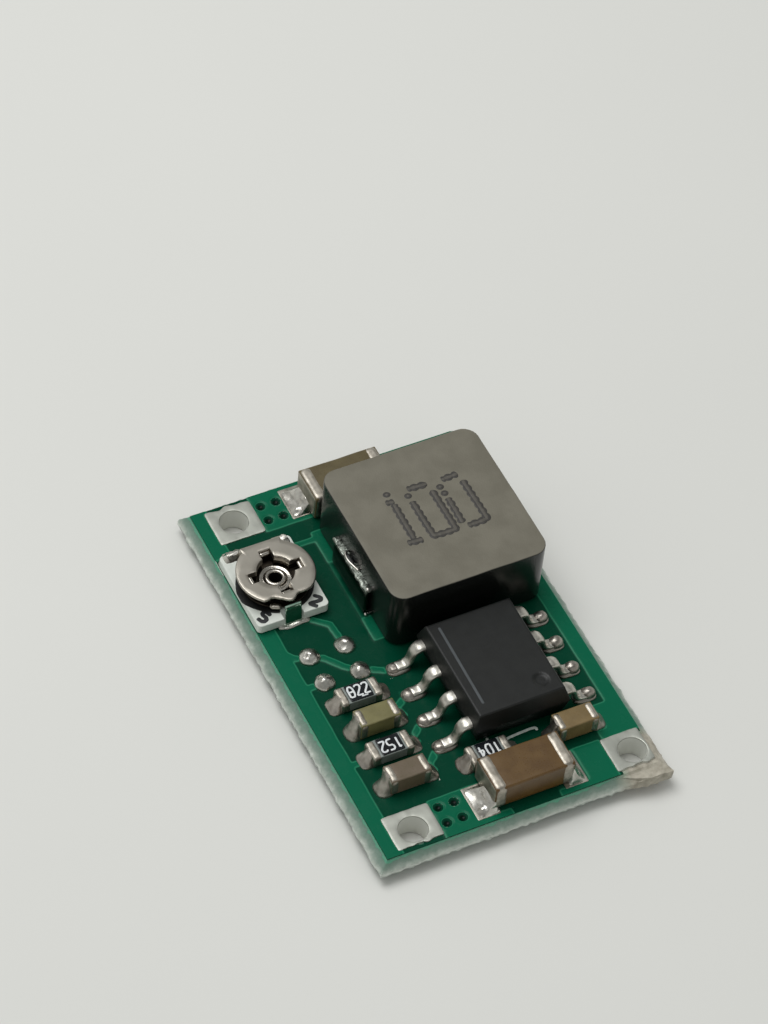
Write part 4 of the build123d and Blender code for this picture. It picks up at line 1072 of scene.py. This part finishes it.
skins = []
for number in range(1, 9):
    side, y, toe, lead_width = lead_place(number)
    wall = body_middle[0] + side * half[0]
    path = eased([
        (wall - side * 0.20, y, parting_z), (wall + side * 0.34, y, parting_z - 0.03 * (side > 0) - 0.005),
        (wall + side * 0.50, y, BOARD_TOP + 0.14), (toe, y, BOARD_TOP + 0.10),
    ], 4)
    rings = bar(path, 1.05 * lead_width, 0.22, across=(0, 1, 0), steps=40, blunt=0.07, power=3.0, around=24,
                swell=lambda distance: 1.22 - 0.24 * np.clip((distance - 0.35) / 0.5, 0, 1))
    rings += 0.006 * lumps(rings, 0.35, 60 + number)[..., None]
    skins.append(pile(rings))
piece("regulator_leads", skins, lead_tin, [f"regulator_lead_{number}" for number in range(1, 9)])

# %% [markdown]
# Solder wets the whole land as a low film, and the toe of each lead stands in a blob. The blobs on the
# right stand taller than those on the left, as on the real board, so each lead gets two mounds whose
# heights depend on its side.

# %% Solder at the leads
skins = []
for number in range(1, 9):
    side, y, toe, lead_width = lead_place(number)
    tip = toe + side * (0.33 if side > 0 else 0.34)
    heel = toe - side * 0.62
    land = (min(heel, tip), max(heel, tip), y - 0.31, y + 0.31)
    ridge = (toe - side * 0.28, y, 0.26, 0.16)
    skins.append(pile(mound(land, ridge, 0.10, 70 + number, rough=0.008, power=3.0)))
    blob = (min(toe - side * 0.34, tip), max(toe - side * 0.34, tip), y - 0.27, y + 0.27)
    lift = 0.34 if side > 0 else 0.20
    crown = (toe + side * 0.02, y, 0.08, 0.09)
    skins.append(pile(mound(blob, crown, lift, 170 + number, cone=0.15, rough=0.016, power=2.2)))
piece("lead_solder", skins, fillet_solder, ["solder_regulator"])

# %% [markdown]
# Chip parts are small fired blocks with a plated cap on each end. The cap is dipped in metal paste, fired
# and plated, so it wraps round the end with rounded edges and a wavy inner rim. Block and caps are the same
# form, built upright and laid down along X, and their sizes come from the CAD nodes.

# %% Plated caps
def lying(rings, centre):
    """Rings built upright, laid down so that their pile runs along X, and moved to a centre."""
    return rings[..., [2, 0, 1]] + centre


def cap(node, side, inner_reach, seed):
    """Plated end: a rounded block along X from the body's end to the wrap, grainy, with a wavy inner rim."""
    low, high = span(node)
    centre = (low + high) / 2
    half = (high - low) / 2
    corner = min(0.20, 0.42 * half[2])
    rings = block(half[1], half[2], corner, half[0] - inner_reach, half[0], 0.85 * corner, fill=5, along=8)
    rings = lying(rings, np.zeros(3))
    rings[..., 0] *= side
    rings += centre
    grain = lumps(rings, 0.30, seed)
    rings[..., 1:] += 0.007 * grain[..., None]
    inner = np.abs(rings[..., 0] - centre[0]) < half[0] - inner_reach + 0.03
    rings[..., 0] += inner * 0.022 * lumps(rings, 0.6, seed + 3)
    rings[..., 2] = np.maximum(rings[..., 2], BOARD_TOP)
    return pile(rings)


print(len(cap("input_capacitor_ends", 1, 0.53, 1)[0]), "points in a cap")

# %% [markdown]
# There are three kinds: two large capacitors, three small capacitors and three flat resistors. The kind
# decides how rounded the block is, and the wrap is how far the cap reaches in along the part, in
# millimetres. Resistors are cut from a scored ceramic plate and keep the sharpest edges.

# %% Chip parts
chips = {
    "input_capacitor": ("big", 0.53), "output_capacitor": ("big", 0.53),
    "upper_capacitor": ("small", 0.36), "lower_capacitor": ("small", 0.36),
    "boost_capacitor": ("small", 0.36),
    "resistor_822": ("flat", 0.33), "resistor_152": ("flat", 0.33), "resistor_104": ("flat", 0.33),
}
for number, (name, (kind, wrap)) in enumerate(chips.items()):
    body_node = name + ("_ceramic" if kind == "flat" else "_body")
    low, high = span(body_node)
    size = (high - low) / 2
    edge = {"big": 0.10, "small": 0.05, "flat": 0.03}[kind]
    rings = block(size[1], size[2], edge, -size[0], size[0], 0.04, fill=4, along=10)
    rings = lying(rings, (low + high) / 2)
    rings[..., 1:] += 0.006 * lumps(rings, 0.8, 80 + number)[..., None]
    material = resistor_alumina_painted_shade if kind == "flat" else capacitor_ceramic[name]
    piece(name + "_block", [pile(rings)], material, [body_node])
    caps = [cap(name + "_ends", side, wrap, 90 + 7 * number + side) for side in (-1, 1)]
    piece(name + "_caps", caps, end_tin, [name + "_ends"])

# %% [markdown]
# Solder wets each plated end from the land up. On the small parts it stands as a hollow cone against the
# end. On the real board the cones on the left climb nearly to the top of the part, and those on the right
# stop lower.

# %% Solder on the small chip parts
def end_solder(name, side, reach, half_across, climb, seed):
    """Mound from a chip's land up to a ridge on its end face, hollow like a cone's foot."""
    low, high = span(name + "_ends")
    face = high[0] if side > 0 else low[0]
    y = (low[1] + high[1]) / 2
    under = face - side * 0.30
    tip = face + side * reach
    land = (min(under, tip), max(under, tip), y - half_across, y + half_across)
    top = climb * (high[2] - BOARD_TOP)
    ridge = 0.20 * (high[1] - low[1])
    peak = (face - side * 0.05, y, 0.05, ridge)
    return pile(mound(land, peak, top, seed, cone=0.85, rough=0.014, power=2.8, around=56, rows=18))


small_skins = []
for number, name in enumerate(list(chips)[2:]):
    for side in (-1, 1):
        climb = 0.98 if side < 0 else 0.70
        small_skins.append(end_solder(name, side, 0.42, 0.40, climb, 200 + 5 * number + side))
piece("small_part_solder", small_skins, fillet_solder, ["solder_small_parts"])

# %% [markdown]
# The large capacitors stand on wide lands that show beside them. A thin film of solder covers each land,
# and a broad shiny fillet slopes from the land's outline up to the cap. A bead near the fillet's outer
# corner, where the last solder froze, gives the strong glint. The left fillet is low and lumpy, the right
# one climbs higher and is smooth.

# %% Solder on the large capacitors
for name, shift in (("input_capacitor", -0.26), ("output_capacitor", 0.26)):
    low, high = span(name + "_ends")
    skins, pads = [], []
    for side in (-1, 1):
        face = high[0] if side > 0 else low[0]
        y = (low[1] + high[1]) / 2 + shift
        pad = block(0.46, 0.74, 0.04, 0.955, 1.012, 0.012, fill=6)
        pad[..., :2] += np.array([face + side * (0.24 if side < 0 else 0.06), y])
        pad[..., 2] += (pad[..., 2] > 1.0) * 0.006 * lumps(pad, 0.9, 236 + side)
        pads.append(pile(pad))
        reach = 0.62 if side < 0 else 0.46
        under, tip = face - side * 0.25, face + side * reach
        land = (min(under, tip), max(under, tip), y - 0.70, y + 0.66)
        peak = (face - side * 0.06, y - 0.12, 0.05, 0.42)
        climb, rough = (0.46, 0.022) if side < 0 else (0.78, 0.010)
        rings = mound(land, peak, climb, 240 + side + int(10 * shift), cone=0.92, rough=rough, power=7.0,
                      low=0.98, around=80, rows=22)
        bead_place = np.array([face + side * (reach - 0.17), y - 0.42])
        bead = np.exp(-np.sum((rings[..., :2] - bead_place) ** 2, axis=-1) / 0.016)
        rings[1:, :, 2] += 0.085 * bead[1:]
        skins.append(pile(rings))
    piece(name + "_lands", pads, flat_solder)
    piece(name + "_solder", skins, bright_solder, ["solder_" + name])

# %% [markdown]
# Under the inductor's strips the solder is squeezed to a thin film that hardly shows. Four bare test lands,
# with nothing on them, carry round domes, because melted solder pulls itself into a drop.

# %% Inductor solder and test domes
skins = []
for name, side in (("left", -1), ("right", 1)):
    low, high = span("inductor_terminal_" + name)
    outer = low[0] if side < 0 else high[0]
    tip = outer - side * 0.06
    land = (min(tip, outer - side * 0.5), max(tip, outer - side * 0.5), low[1] + 0.02, high[1] - 0.02)
    peak = (outer - side * 0.20, (low[1] + high[1]) / 2, 0.03, 1.2)
    skins.append(pile(mound(land, peak, 0.03, 250 + side, cone=0.6, rough=0.004, around=80)))
piece("inductor_solder", skins, bright_solder, ["solder_inductor"])

dome_centres = [(-2.75, 0.71), (-4.20, 0.71), (-2.75, -0.58), (-4.20, -0.58)]
dome_radius, dome_height = 0.40, 0.29
skins = []
for number, (x, y) in enumerate(dome_centres):
    land = (x - dome_radius, x + dome_radius, y - dome_radius, y + dome_radius)
    rings = mound(land, (x, y, 0.07, 0.07), dome_height, 260 + number, cone=0.45, rough=0.024, power=2.2,
                  rows=16)
    skins.append(pile(rings))
piece("test_domes", skins, bright_solder, ["solder_domes"])

# %% [markdown]
# Value numbers are printed in simple strokes. A digit is a few strokes in a box one wide and two high, and
# a stroke is a thin flat bar, so that the ink stands a hair above what it is printed on and keeps rounded
# ends.

# %% Digits as strokes
digit_strokes = {
    "0": [[(0, 0), (1, 0), (1, 2), (0, 2), (0, 0)]],
    "1": [[(0.5, 0), (0.5, 2)], [(0.1, 1.7), (0.5, 2)]],
    "2": [[(0, 1.7), (0.15, 2), (0.85, 2), (1, 1.75), (1, 1.35), (0, 0.25), (0, 0), (1.05, 0)]],
    "4": [[(0.75, 0), (0.75, 2)], [(0.75, 2), (0, 0.75), (1.1, 0.75)]],
    "5": [[(1, 2), (0, 2), (0, 1.1), (1, 1.1), (1, 0), (0, 0)]],
    "8": [[(0, 0), (1, 0), (1, 2), (0, 2), (0, 0)], [(0, 1), (1, 1)]],
}


def digits(text, centre, width, height, pitch, stroke, turn=0.0, raised=0.012):
    """Bars for a row of digits: strokes scaled to width and height, a pitch apart, turned about a centre."""
    c, s = math.cos(math.radians(turn)), math.sin(math.radians(turn))
    skins = []
    for place, digit in enumerate(text):
        start = (place - (len(text) - 1) / 2) * pitch - width / 2
        for points in digit_strokes[digit]:
            flat = [(start + x * width, (y / 2 - 0.5) * height) for x, y in points]
            path = [(centre[0] + c * x - s * y, centre[1] + s * x + c * y, centre[2]) for x, y in flat]
            skins.append(pile(bar(eased(path, 1), stroke, raised, steps=40, blunt=stroke / 3, power=3.0)))
    return skins


print(len(digit_strokes), "digits can be drawn")

# %% [markdown]
# The chip resistors carry a black glass glaze over their resistive layer, with a value code in white ink on
# it. Two of the codes stand upside down, as the parts happened to be placed, and the first has a short bar
# under it.

# %% Resistor glass and codes
for text, turn in (("822", 0), ("152", 180), ("104", 180)):
    name = "resistor_" + text
    low, high = span(name + "_glaze")
    centre = (low + high) / 2
    rings = block((high[0] - low[0]) / 2, (high[1] - low[1]) / 2, 0.04, low[2] - 0.02, high[2], 0.02, along=8)
    rings[..., :2] += centre[:2]
    piece(name + "_glass", [pile(rings)], glaze, [name + "_glaze"])
    top = (centre[0], centre[1] + (0.03 if turn == 0 else -0.03), high[2])
    skins = digits(text, top, 0.200, 0.47, 0.290, 0.072, turn)
    if turn == 0:
        line = [(centre[0], centre[1] - 0.28, high[2]), (centre[0] + 0.26, centre[1] - 0.28, high[2])]
        skins.append(pile(bar(line, 0.05, 0.012, blunt=0.02)))
    piece(name + "_code", skins, white_ink)

# %% [markdown]
# The board's legend is printed in pale ink through a screen: a line with a small hook beside the regulator,
# and a dot. Both are flat bars that lie on the lacquer.

# %% Board legend
legend_z = BOARD_TOP + 0.003
hook = [(0.62, -5.52), (0.84, -5.45), (1.18, -5.42), (2.04, -5.38), (2.00, -5.55)]
line = eased([(x, y, legend_z) for x, y in hook], 1)
dot = [(0.08, -5.20, legend_z), (0.20, -5.20, legend_z)]
dot_rings = bar(dot, 0.13, 0.014, blunt=0.06, power=2.0, steps=4)
legend = [pile(bar(line, 0.11, 0.014, blunt=0.03)), pile(dot_rings)]
piece("board_legend", legend, legend_ink)

# %% [markdown]
# The trimmer is an open-frame potentiometer. A ceramic plate carries a horseshoe of resistive film, two
# plated clips fold round its far corners, and a drawn rivet in the middle holds the rotor. The plate and
# the clips keep their CAD form and only get softer edges, because that form is already the real one.

# %% Trimmer base and clips
softened("trimmer_ceramic", "trimmer_base", alumina, 0.05)
softened("trimmer_clips", "trimmer_end_clips", end_tin, 0.012)
base_top = span("trimmer_base")[1][2]
rotor_x, rotor_y = -4.06, 4.06
print("ceramic is", round(float(base_top), 2), "mm high")

# %% [markdown]
# The film is carbon ink, printed as a horseshoe and fired. Its ends run under the clips, it steps round the
# wiper's strip at the near side, and on the left it bulges out past the rotor. Its section is a flat box
# carried round the angles of the horseshoe. The two numbers on the ceramic are the value code of the
# trimmer.

# %% Resistive film and numbers
film_angle = np.radians(np.linspace(146, 394, 120))
film_low, film_top = base_top - 0.01, base_top + 0.015
film_ring = []
for radius, z in ((0.92, film_low), (0.92, film_top), (1.46, film_top), (1.46, film_low)):
    reach_in = np.minimum(radius, np.where(np.abs(film_angle - math.radians(270)) < 0.30, 1.22, 9.0))
    reach_out = reach_in * (1 + (radius > 1) * 0.09 * np.exp(-((film_angle - math.radians(195)) / 0.42) ** 2))
    film_x = rotor_x + np.clip(reach_out * np.cos(film_angle), -1.54, 1.40)
    film_y = rotor_y + reach_in * np.sin(film_angle)
    film_ring.append(np.stack([film_x, film_y, 0 * film_angle + z], axis=-1))
film_skins = [pile(np.stack(film_ring, axis=1))]
piece("resistive_horseshoe", film_skins, film_black, ["trimmer_track"])
number_z = base_top + 0.006
skins = digits("5", (-5.12, 2.73, number_z), 0.30, 0.44, 0.3, 0.17, -66, 0.010)
skins += digits("2", (-3.04, 2.67, number_z), 0.30, 0.44, 0.3, 0.17, -44, 0.010)
piece("trimmer_numbers", skins, black_ink)

# %% [markdown]
# The rivet is drawn from the same strip that makes the wiper's terminal. Its tube comes up through the
# ceramic and is rolled over into a flange with a bright double ring. It is a profile turned round the
# rotor's axis. Its bore is painted near black as painted shade, so the bore has a thin lining and a plug of
# its own.

# %% Trimmer rivet
def turned_ring(profile):
    """Tyre of a profile turned round the rotor's axis: (radius cos t, radius sin t, height)."""
    angle = np.linspace(0, 2 * math.pi, 96, endpoint=False)
    return tyre(np.stack([
        rotor_x + profile[:, :1] * np.cos(angle), rotor_y + profile[:, :1] * np.sin(angle),
        np.broadcast_to(profile[:, 1:], (len(profile), len(angle))),
    ], axis=-1))


rivet_profile = np.array([
    [0.24, 1.00], [0.24, 1.70], [0.25, 1.755], [0.28, 1.785], [0.33, 1.795], [0.38, 1.78], [0.415, 1.74],
    [0.44, 1.70], [0.47, 1.685], [0.50, 1.69], [0.54, 1.715], [0.59, 1.72], [0.63, 1.705], [0.65, 1.67],
    [0.63, 1.645], [0.32, 1.64], [0.32, 1.00],
])
strip = [(rotor_x, 2.37, 1.03), (rotor_x, 4.44, 1.03)]
skins = [turned_ring(rivet_profile), pile(bar(strip, 0.66, 0.06, across=(1, 0, 0), power=8))]
piece("trimmer_rivet", skins, rivet_metal, ["trimmer_wiper_terminal"])
# The lining and plug are near black: painted shade inside the bore.
plug = [(rotor_x - 0.2, rotor_y, 1.18), (rotor_x + 0.2, rotor_y, 1.18)]
lining_profile = np.array([[0.215, 1.10], [0.215, 1.68], [0.235, 1.72], [0.25, 1.70], [0.25, 1.10]])
bore_skins = [turned_ring(lining_profile), pile(bar(plug, 0.44, 0.10, blunt=0.1, power=2.0))]
piece("trimmer_rivet_bore", bore_skins, bore_shade_black)

# %% [markdown]
# The strip's near end is bent up against the ceramic as a steep, narrow tab. Its colour is tinted green, a
# painted reflection of the green board, which is what shows that it stands up.

# %% Wiper tab
tab = eased([(rotor_x, 2.37, 1.02), (rotor_x, 2.40, 1.30), (rotor_x, 2.50, 1.84), (rotor_x, 2.57, 1.95)], 3)
tab_rings = bar(tab, 0.66, 0.08, across=(1, 0, 0), power=8, blunt=0.02)
piece("trimmer_wiper_tab", [pile(tab_rings)], tab_nickel_painted_reflection)

# %% [markdown]
# The rotor is one sheet of nickel silver folded double. Its upper plate has a cross slot for the
# screwdriver and a wavy near rim with two notches, its lower plate is the spring that presses the wiper on
# the film. Each plate is a tyre in polar form: for every angle, an inner and an outer radius, with rounded
# edges between.

# %% Polar plates
def polar_plate(inner, outer, low, high, edge):
    """Tyre of a plate round the axis: radius = (1 - w) inner + w outer + o edge, z likewise with h and k."""
    t = np.radians([0, 30, 60, 90])
    c, s = np.cos(t), np.sin(t)
    across = np.array([0.25, 0.5, 0.75])
    parts = [
        (0, 1 - s, 0, 1 - c), (0, 1 - c, 1, s - 1), (across, 1 - 2 * across, 1, 0 * across),
        (1, s - 1, 1, c - 1), (1, c - 1, 0, 1 - s), (across[::-1], 1 - 2 * across[::-1], 0, 0 * across),
    ]
    w, o, h, k = (np.concatenate([part[i] + 0 * part[1] for part in parts])[:, None] for i in range(4))
    radius = (1 - w) * inner + w * outer + o * edge
    z = (1 - h) * low + h * high + k * edge
    points = [rotor_x + radius * np.cos(theta), rotor_y + radius * np.sin(theta), z + 0 * radius]
    return tyre(np.stack(points, axis=-1))


def polar_lip(inner, profile):
    """Tyre of a wall that follows an opening: radius = inner + the profile's offset, at its height."""
    radius = inner + profile[:, :1]
    points = [rotor_x + radius * np.cos(theta), rotor_y + radius * np.sin(theta), profile[:, 1:] + 0 * radius]
    return tyre(np.stack(points, axis=-1))


theta = np.linspace(-math.pi, math.pi, 720, endpoint=False)
print(len(theta), "angles round the rotor")

# %% [markdown]
# The outlines are worked out as radii for all the angles at once. The rim is a circle of 1.50 mm, cut flat
# where the sheet folds at the far side, and its near side follows a table of angles and radii for the two
# notches and the tab between them. The opening is the larger of a round well and the two arms of the cross.

# %% Outlines of the rotor
rim_radius, lower_radius, well_radius = 1.50, 1.29, 0.70
fold_reach, fold_half = 1.46, 0.82
arm_reach, arm_half = 1.05, 0.235
cosine, sine = np.cos(theta), np.sin(theta)
slope = np.maximum(np.abs(cosine), 1e-6)
rise = np.maximum(np.abs(sine), 1e-6)
flat_side = np.where(sine > 0, fold_reach / rise, 9.0)
shoulder = np.where(sine > 0, np.minimum(flat_side, fold_half / slope), 0.0)
outer = np.minimum(np.maximum(rim_radius, shoulder), flat_side)
rim_table = np.array([
    (-180, 1.50), (-131, 1.50), (-127, 1.43), (-122, 1.29), (-117, 1.25), (-110, 1.28), (-103, 1.33),
    (-96, 1.43), (-91, 1.48), (-88, 1.47), (-82, 1.38), (-77, 1.30), (-72, 1.29), (-61, 1.41), (-52, 1.48),
    (-46, 1.50), (180, 1.50),
])
rim = np.interp(np.degrees(theta), rim_table[:, 0], rim_table[:, 1])
outer = np.where(sine < 0, np.minimum(outer, rim), outer)
arm_x = np.minimum(arm_reach / slope, arm_half / rise)
arm_y = np.minimum(arm_reach / rise, arm_half / slope)
inner = np.maximum(well_radius, np.maximum(arm_x, arm_y))
lower_outer = np.minimum(np.maximum(lower_radius, shoulder), flat_side)
print("rotor reaches", round(float(outer.max()), 2), "mm, its opening", round(float(inner.max()), 2), "mm")

# %% [markdown]
# The punch that cuts the cross draws the metal down into a lip round the opening. The upper plate and the
# upper part of the lip are one bright sheet, with the fold as a wall at the far side and the wiper's bump
# under the near rim. The upper lip has the form of the lower one, pressed flatter and moved up.

# %% Trimmer rotor
lower_lip = np.array([
    [0.06, 1.92], [0.02, 1.90], [0.01, 1.86], [0.00, 1.64], [0.04, 1.64], [0.06, 1.86], [0.09, 1.92],
])
upper_lip = lower_lip * np.array([1.0, 0.72]) + np.array([-0.005, 0.715])
skins = [polar_plate(inner, outer, 2.03, 2.15, 0.045), polar_lip(inner, upper_lip)]
wall = block(fold_half, 0.06, 0.03, 1.56, 2.13, 0.03, fill=3)
wall[..., :2] += np.array([rotor_x, rotor_y + 1.40])
skins.append(pile(wall))
bump = [(rotor_x - 0.72, rotor_y - 1.06, 1.62), (rotor_x - 0.32, rotor_y - 1.25, 1.62)]
skins.append(pile(bar(bump, 0.24, 0.17, blunt=0.11, power=2.0, steps=8)))
piece("trimmer_rotor_sheet", skins, nickel_sheet, ["trimmer_rotor"], "trimmer_rotor")

# %% [markdown]
# At the end of each arm of the cross the drawn metal bulges into the slot. Four short rounded bars make
# those ends. They lie just under the plate, where they catch the light.

# %% Ends of the cross slot
end_radius, end_half, end_z = 1.00, 0.21, 1.98
edge_skins = []
for way_x, way_y in ((1, 0), (0, 1), (-1, 0), (0, -1)):
    ends = [(rotor_x + end_radius * way_x - t * way_y, rotor_y + end_radius * way_y + t * way_x, end_z)
            for t in (-end_half, end_half)]
    edge_skins.append(pile(bar(ends, 0.18, 0.17, blunt=0.06, power=2.4, steps=8)))
piece("trimmer_rotor_slot_ends", edge_skins, rivet_metal, [], "trimmer_rotor")

# %% [markdown]
# The lower plate is the spring that is held under the rivet's flange. It and the lower part of the lip lie
# in the slot, so they are a piece of their own whose finish is painted dark: painted shade in the slot. It
# turns with the rest.

# %% Lower plate of the rotor
well_skins = [polar_plate(0.36 + 0 * inner, lower_outer, 1.54, 1.62, 0.02), polar_lip(inner, lower_lip)]
piece("trimmer_rotor_well", well_skins, well_nickel_painted_shade, [], "trimmer_rotor")

# %% [markdown]
# The trimmer is soldered at its two clips and at the foot of its tab. The clips' solder stands as lumpy
# beads that climb over the ceramic's corners, and the tab's is a low bright rim.

# %% Trimmer solder
skins = []
for land, peak, height, seed in (
    ((-5.46, -4.56, 5.35, 6.14), (-5.02, 5.76, 0.26, 0.10), 0.68, 301),
    ((-3.50, -2.64, 5.35, 6.14), (-3.02, 5.76, 0.26, 0.10), 0.62, 302),
    ((-4.70, -3.42, 2.22, 2.60), (-4.06, 2.42, 0.50, 0.05), 0.07, 303),
):
    skins.append(pile(mound(land, peak, height, seed, cone=0.2, rough=0.050)))
piece("trimmer_joint_solder", skins, bright_solder, ["solder_trimmer"])

# %% [markdown]
# The stage is a plain pale floor, such as a sheet of paper. It lies 0.02 mm under the board, so that the
# two faces don't flicker through each other, and it is wide enough that no side view shows its end.

# %% Floor
floor_mesh = bpy.data.meshes.new("floor")
reach = 0.5
floor_corners = [(-reach, -reach, 0), (reach, -reach, 0), (reach, reach, 0), (-reach, reach, 0)]
floor_mesh.from_pydata(floor_corners, [], [[0, 1, 2, 3]])
floor = bpy.data.objects.new("floor", floor_mesh)
bpy.context.scene.collection.objects.link(floor)
floor_mesh.transform(Matrix.Translation((0, 0, -0.00002)))
paper = finish("pale_paper", "#d3d3cf", "#d5d5d1", 0.9, 0.02, patch=40.0, grain=3.0, relief=0.0)
floor_mesh.materials.append(paper)
print("floor is", 2 * reach, "m square")

# %% [markdown]
# One large square lamp stands overhead, a little behind and to the left. It gives soft shadows and the
# broad highlight on metal. It is as weak as a room's light, because the object is tiny and the lamp is
# near.

# %% Lamp
def lamp(name, place, target, size, power):
    """Square area lamp at a place, pointed at a target, sizes in metres and power in watts."""
    light = bpy.data.lights.new(name, "AREA")
    light.size = size
    light.energy = power
    thing = bpy.data.objects.new(name, light)
    bpy.context.scene.collection.objects.link(thing)
    thing.location = place
    thing.rotation_euler = (Vector(target) - Vector(place)).to_track_quat("-Z", "Y").to_euler()
    return thing


softbox = lamp("overhead_softbox", (-0.03, 0.05, 0.16), (0, 0, 0), 0.11, 0.185)
print("lamp at", tuple(round(value, 3) for value in softbox.location), "m")

# %% [markdown]
# The world fills the shadows with an even pale light. What the camera and the shiny metals see of it is a
# background of its own at strength 1: pale near the horizon, like the paper, and greyer overhead, so that
# level metal keeps its tone and the green isn't washed out. Light Path picks between the two.

# %% World
world = bpy.data.worlds.new("studio")
bpy.context.scene.world = world
world.use_nodes = True
world_tree = world.node_tree
world_tree.nodes.clear()
fill_light = add(world_tree, "Background", {"Color": linear("#eceeec"), "Strength": 0.58})
sky = add(world_tree, "TexCoord").outputs["Generated"]
way = add(world_tree, "SeparateXYZ", {"Vector": sky}).outputs["Z"]
walls = add(world_tree, "ValToRGB", {"Fac": way}, [(0.30, linear("#d9d9d5")), (0.62, linear("#8c8e8c"))])
pale_back = add(world_tree, "Background", {"Color": walls.outputs["Color"], "Strength": 1.0})
rays = add(world_tree, "LightPath")
seen = add(world_tree, "Math", {
    0: rays.outputs["Is Camera Ray"], 1: rays.outputs["Is Glossy Ray"],
}, operation="MAXIMUM")
seen = add(world_tree, "Math", {
    0: seen.outputs[0], 1: rays.outputs["Is Transmission Ray"],
}, operation="MAXIMUM")
chosen = add(world_tree, "MixShader", {0: seen.outputs[0], 1: fill_light.outputs[0], 2: pale_back.outputs[0]})
add(world_tree, "OutputWorld", {"Surface": chosen.outputs[0]})
bpy.context.scene.view_settings.view_transform = "Standard"
print(len(world_tree.nodes), "nodes in the world")

# %% [markdown]
# The camera stands where the photograph's camera stood, worked out from the board's four edges. It looks
# down from about 50 degrees, from the side of the input end and the minus edge, and it was held with a roll
# of 6.28 degrees. The lens is long, so the board's edges stay almost parallel. Right, up and back are the
# columns of its turn.

# %% Camera at the photograph's angle
forward = np.array([0.32734, 0.54827, -0.76957])
level = np.array([0.8586, -0.5126, 0.0])
roll = math.radians(6.28)
above = np.cross(level, forward)
right = level * math.cos(roll) + above * math.sin(roll)
upward_way = above * math.cos(roll) - level * math.sin(roll)
camera_data = bpy.data.cameras.new("camera")
sensor = 36.0  # mm along the picture's long side
frame_height = 1024  # pixels along the same side
focal_length = 4069.59  # in the same pixels, from how the board's edges run together
camera_data.sensor_width = sensor
camera_data.lens = focal_length * sensor / frame_height
camera_data.clip_start = 0.005
camera = bpy.data.objects.new("camera", camera_data)
bpy.context.scene.collection.objects.link(camera)
turned = Matrix([list(row) for row in np.stack([right, upward_way, -forward], axis=1)]).to_4x4()
camera_place = np.array([-49.058, -78.596, 119.534])
turned.translation = camera_place * MM
camera.matrix_world = turned
bpy.context.scene.camera = camera
print("lens", round(camera_data.lens), "mm, camera", round(turned.translation.length / MM), "mm away")
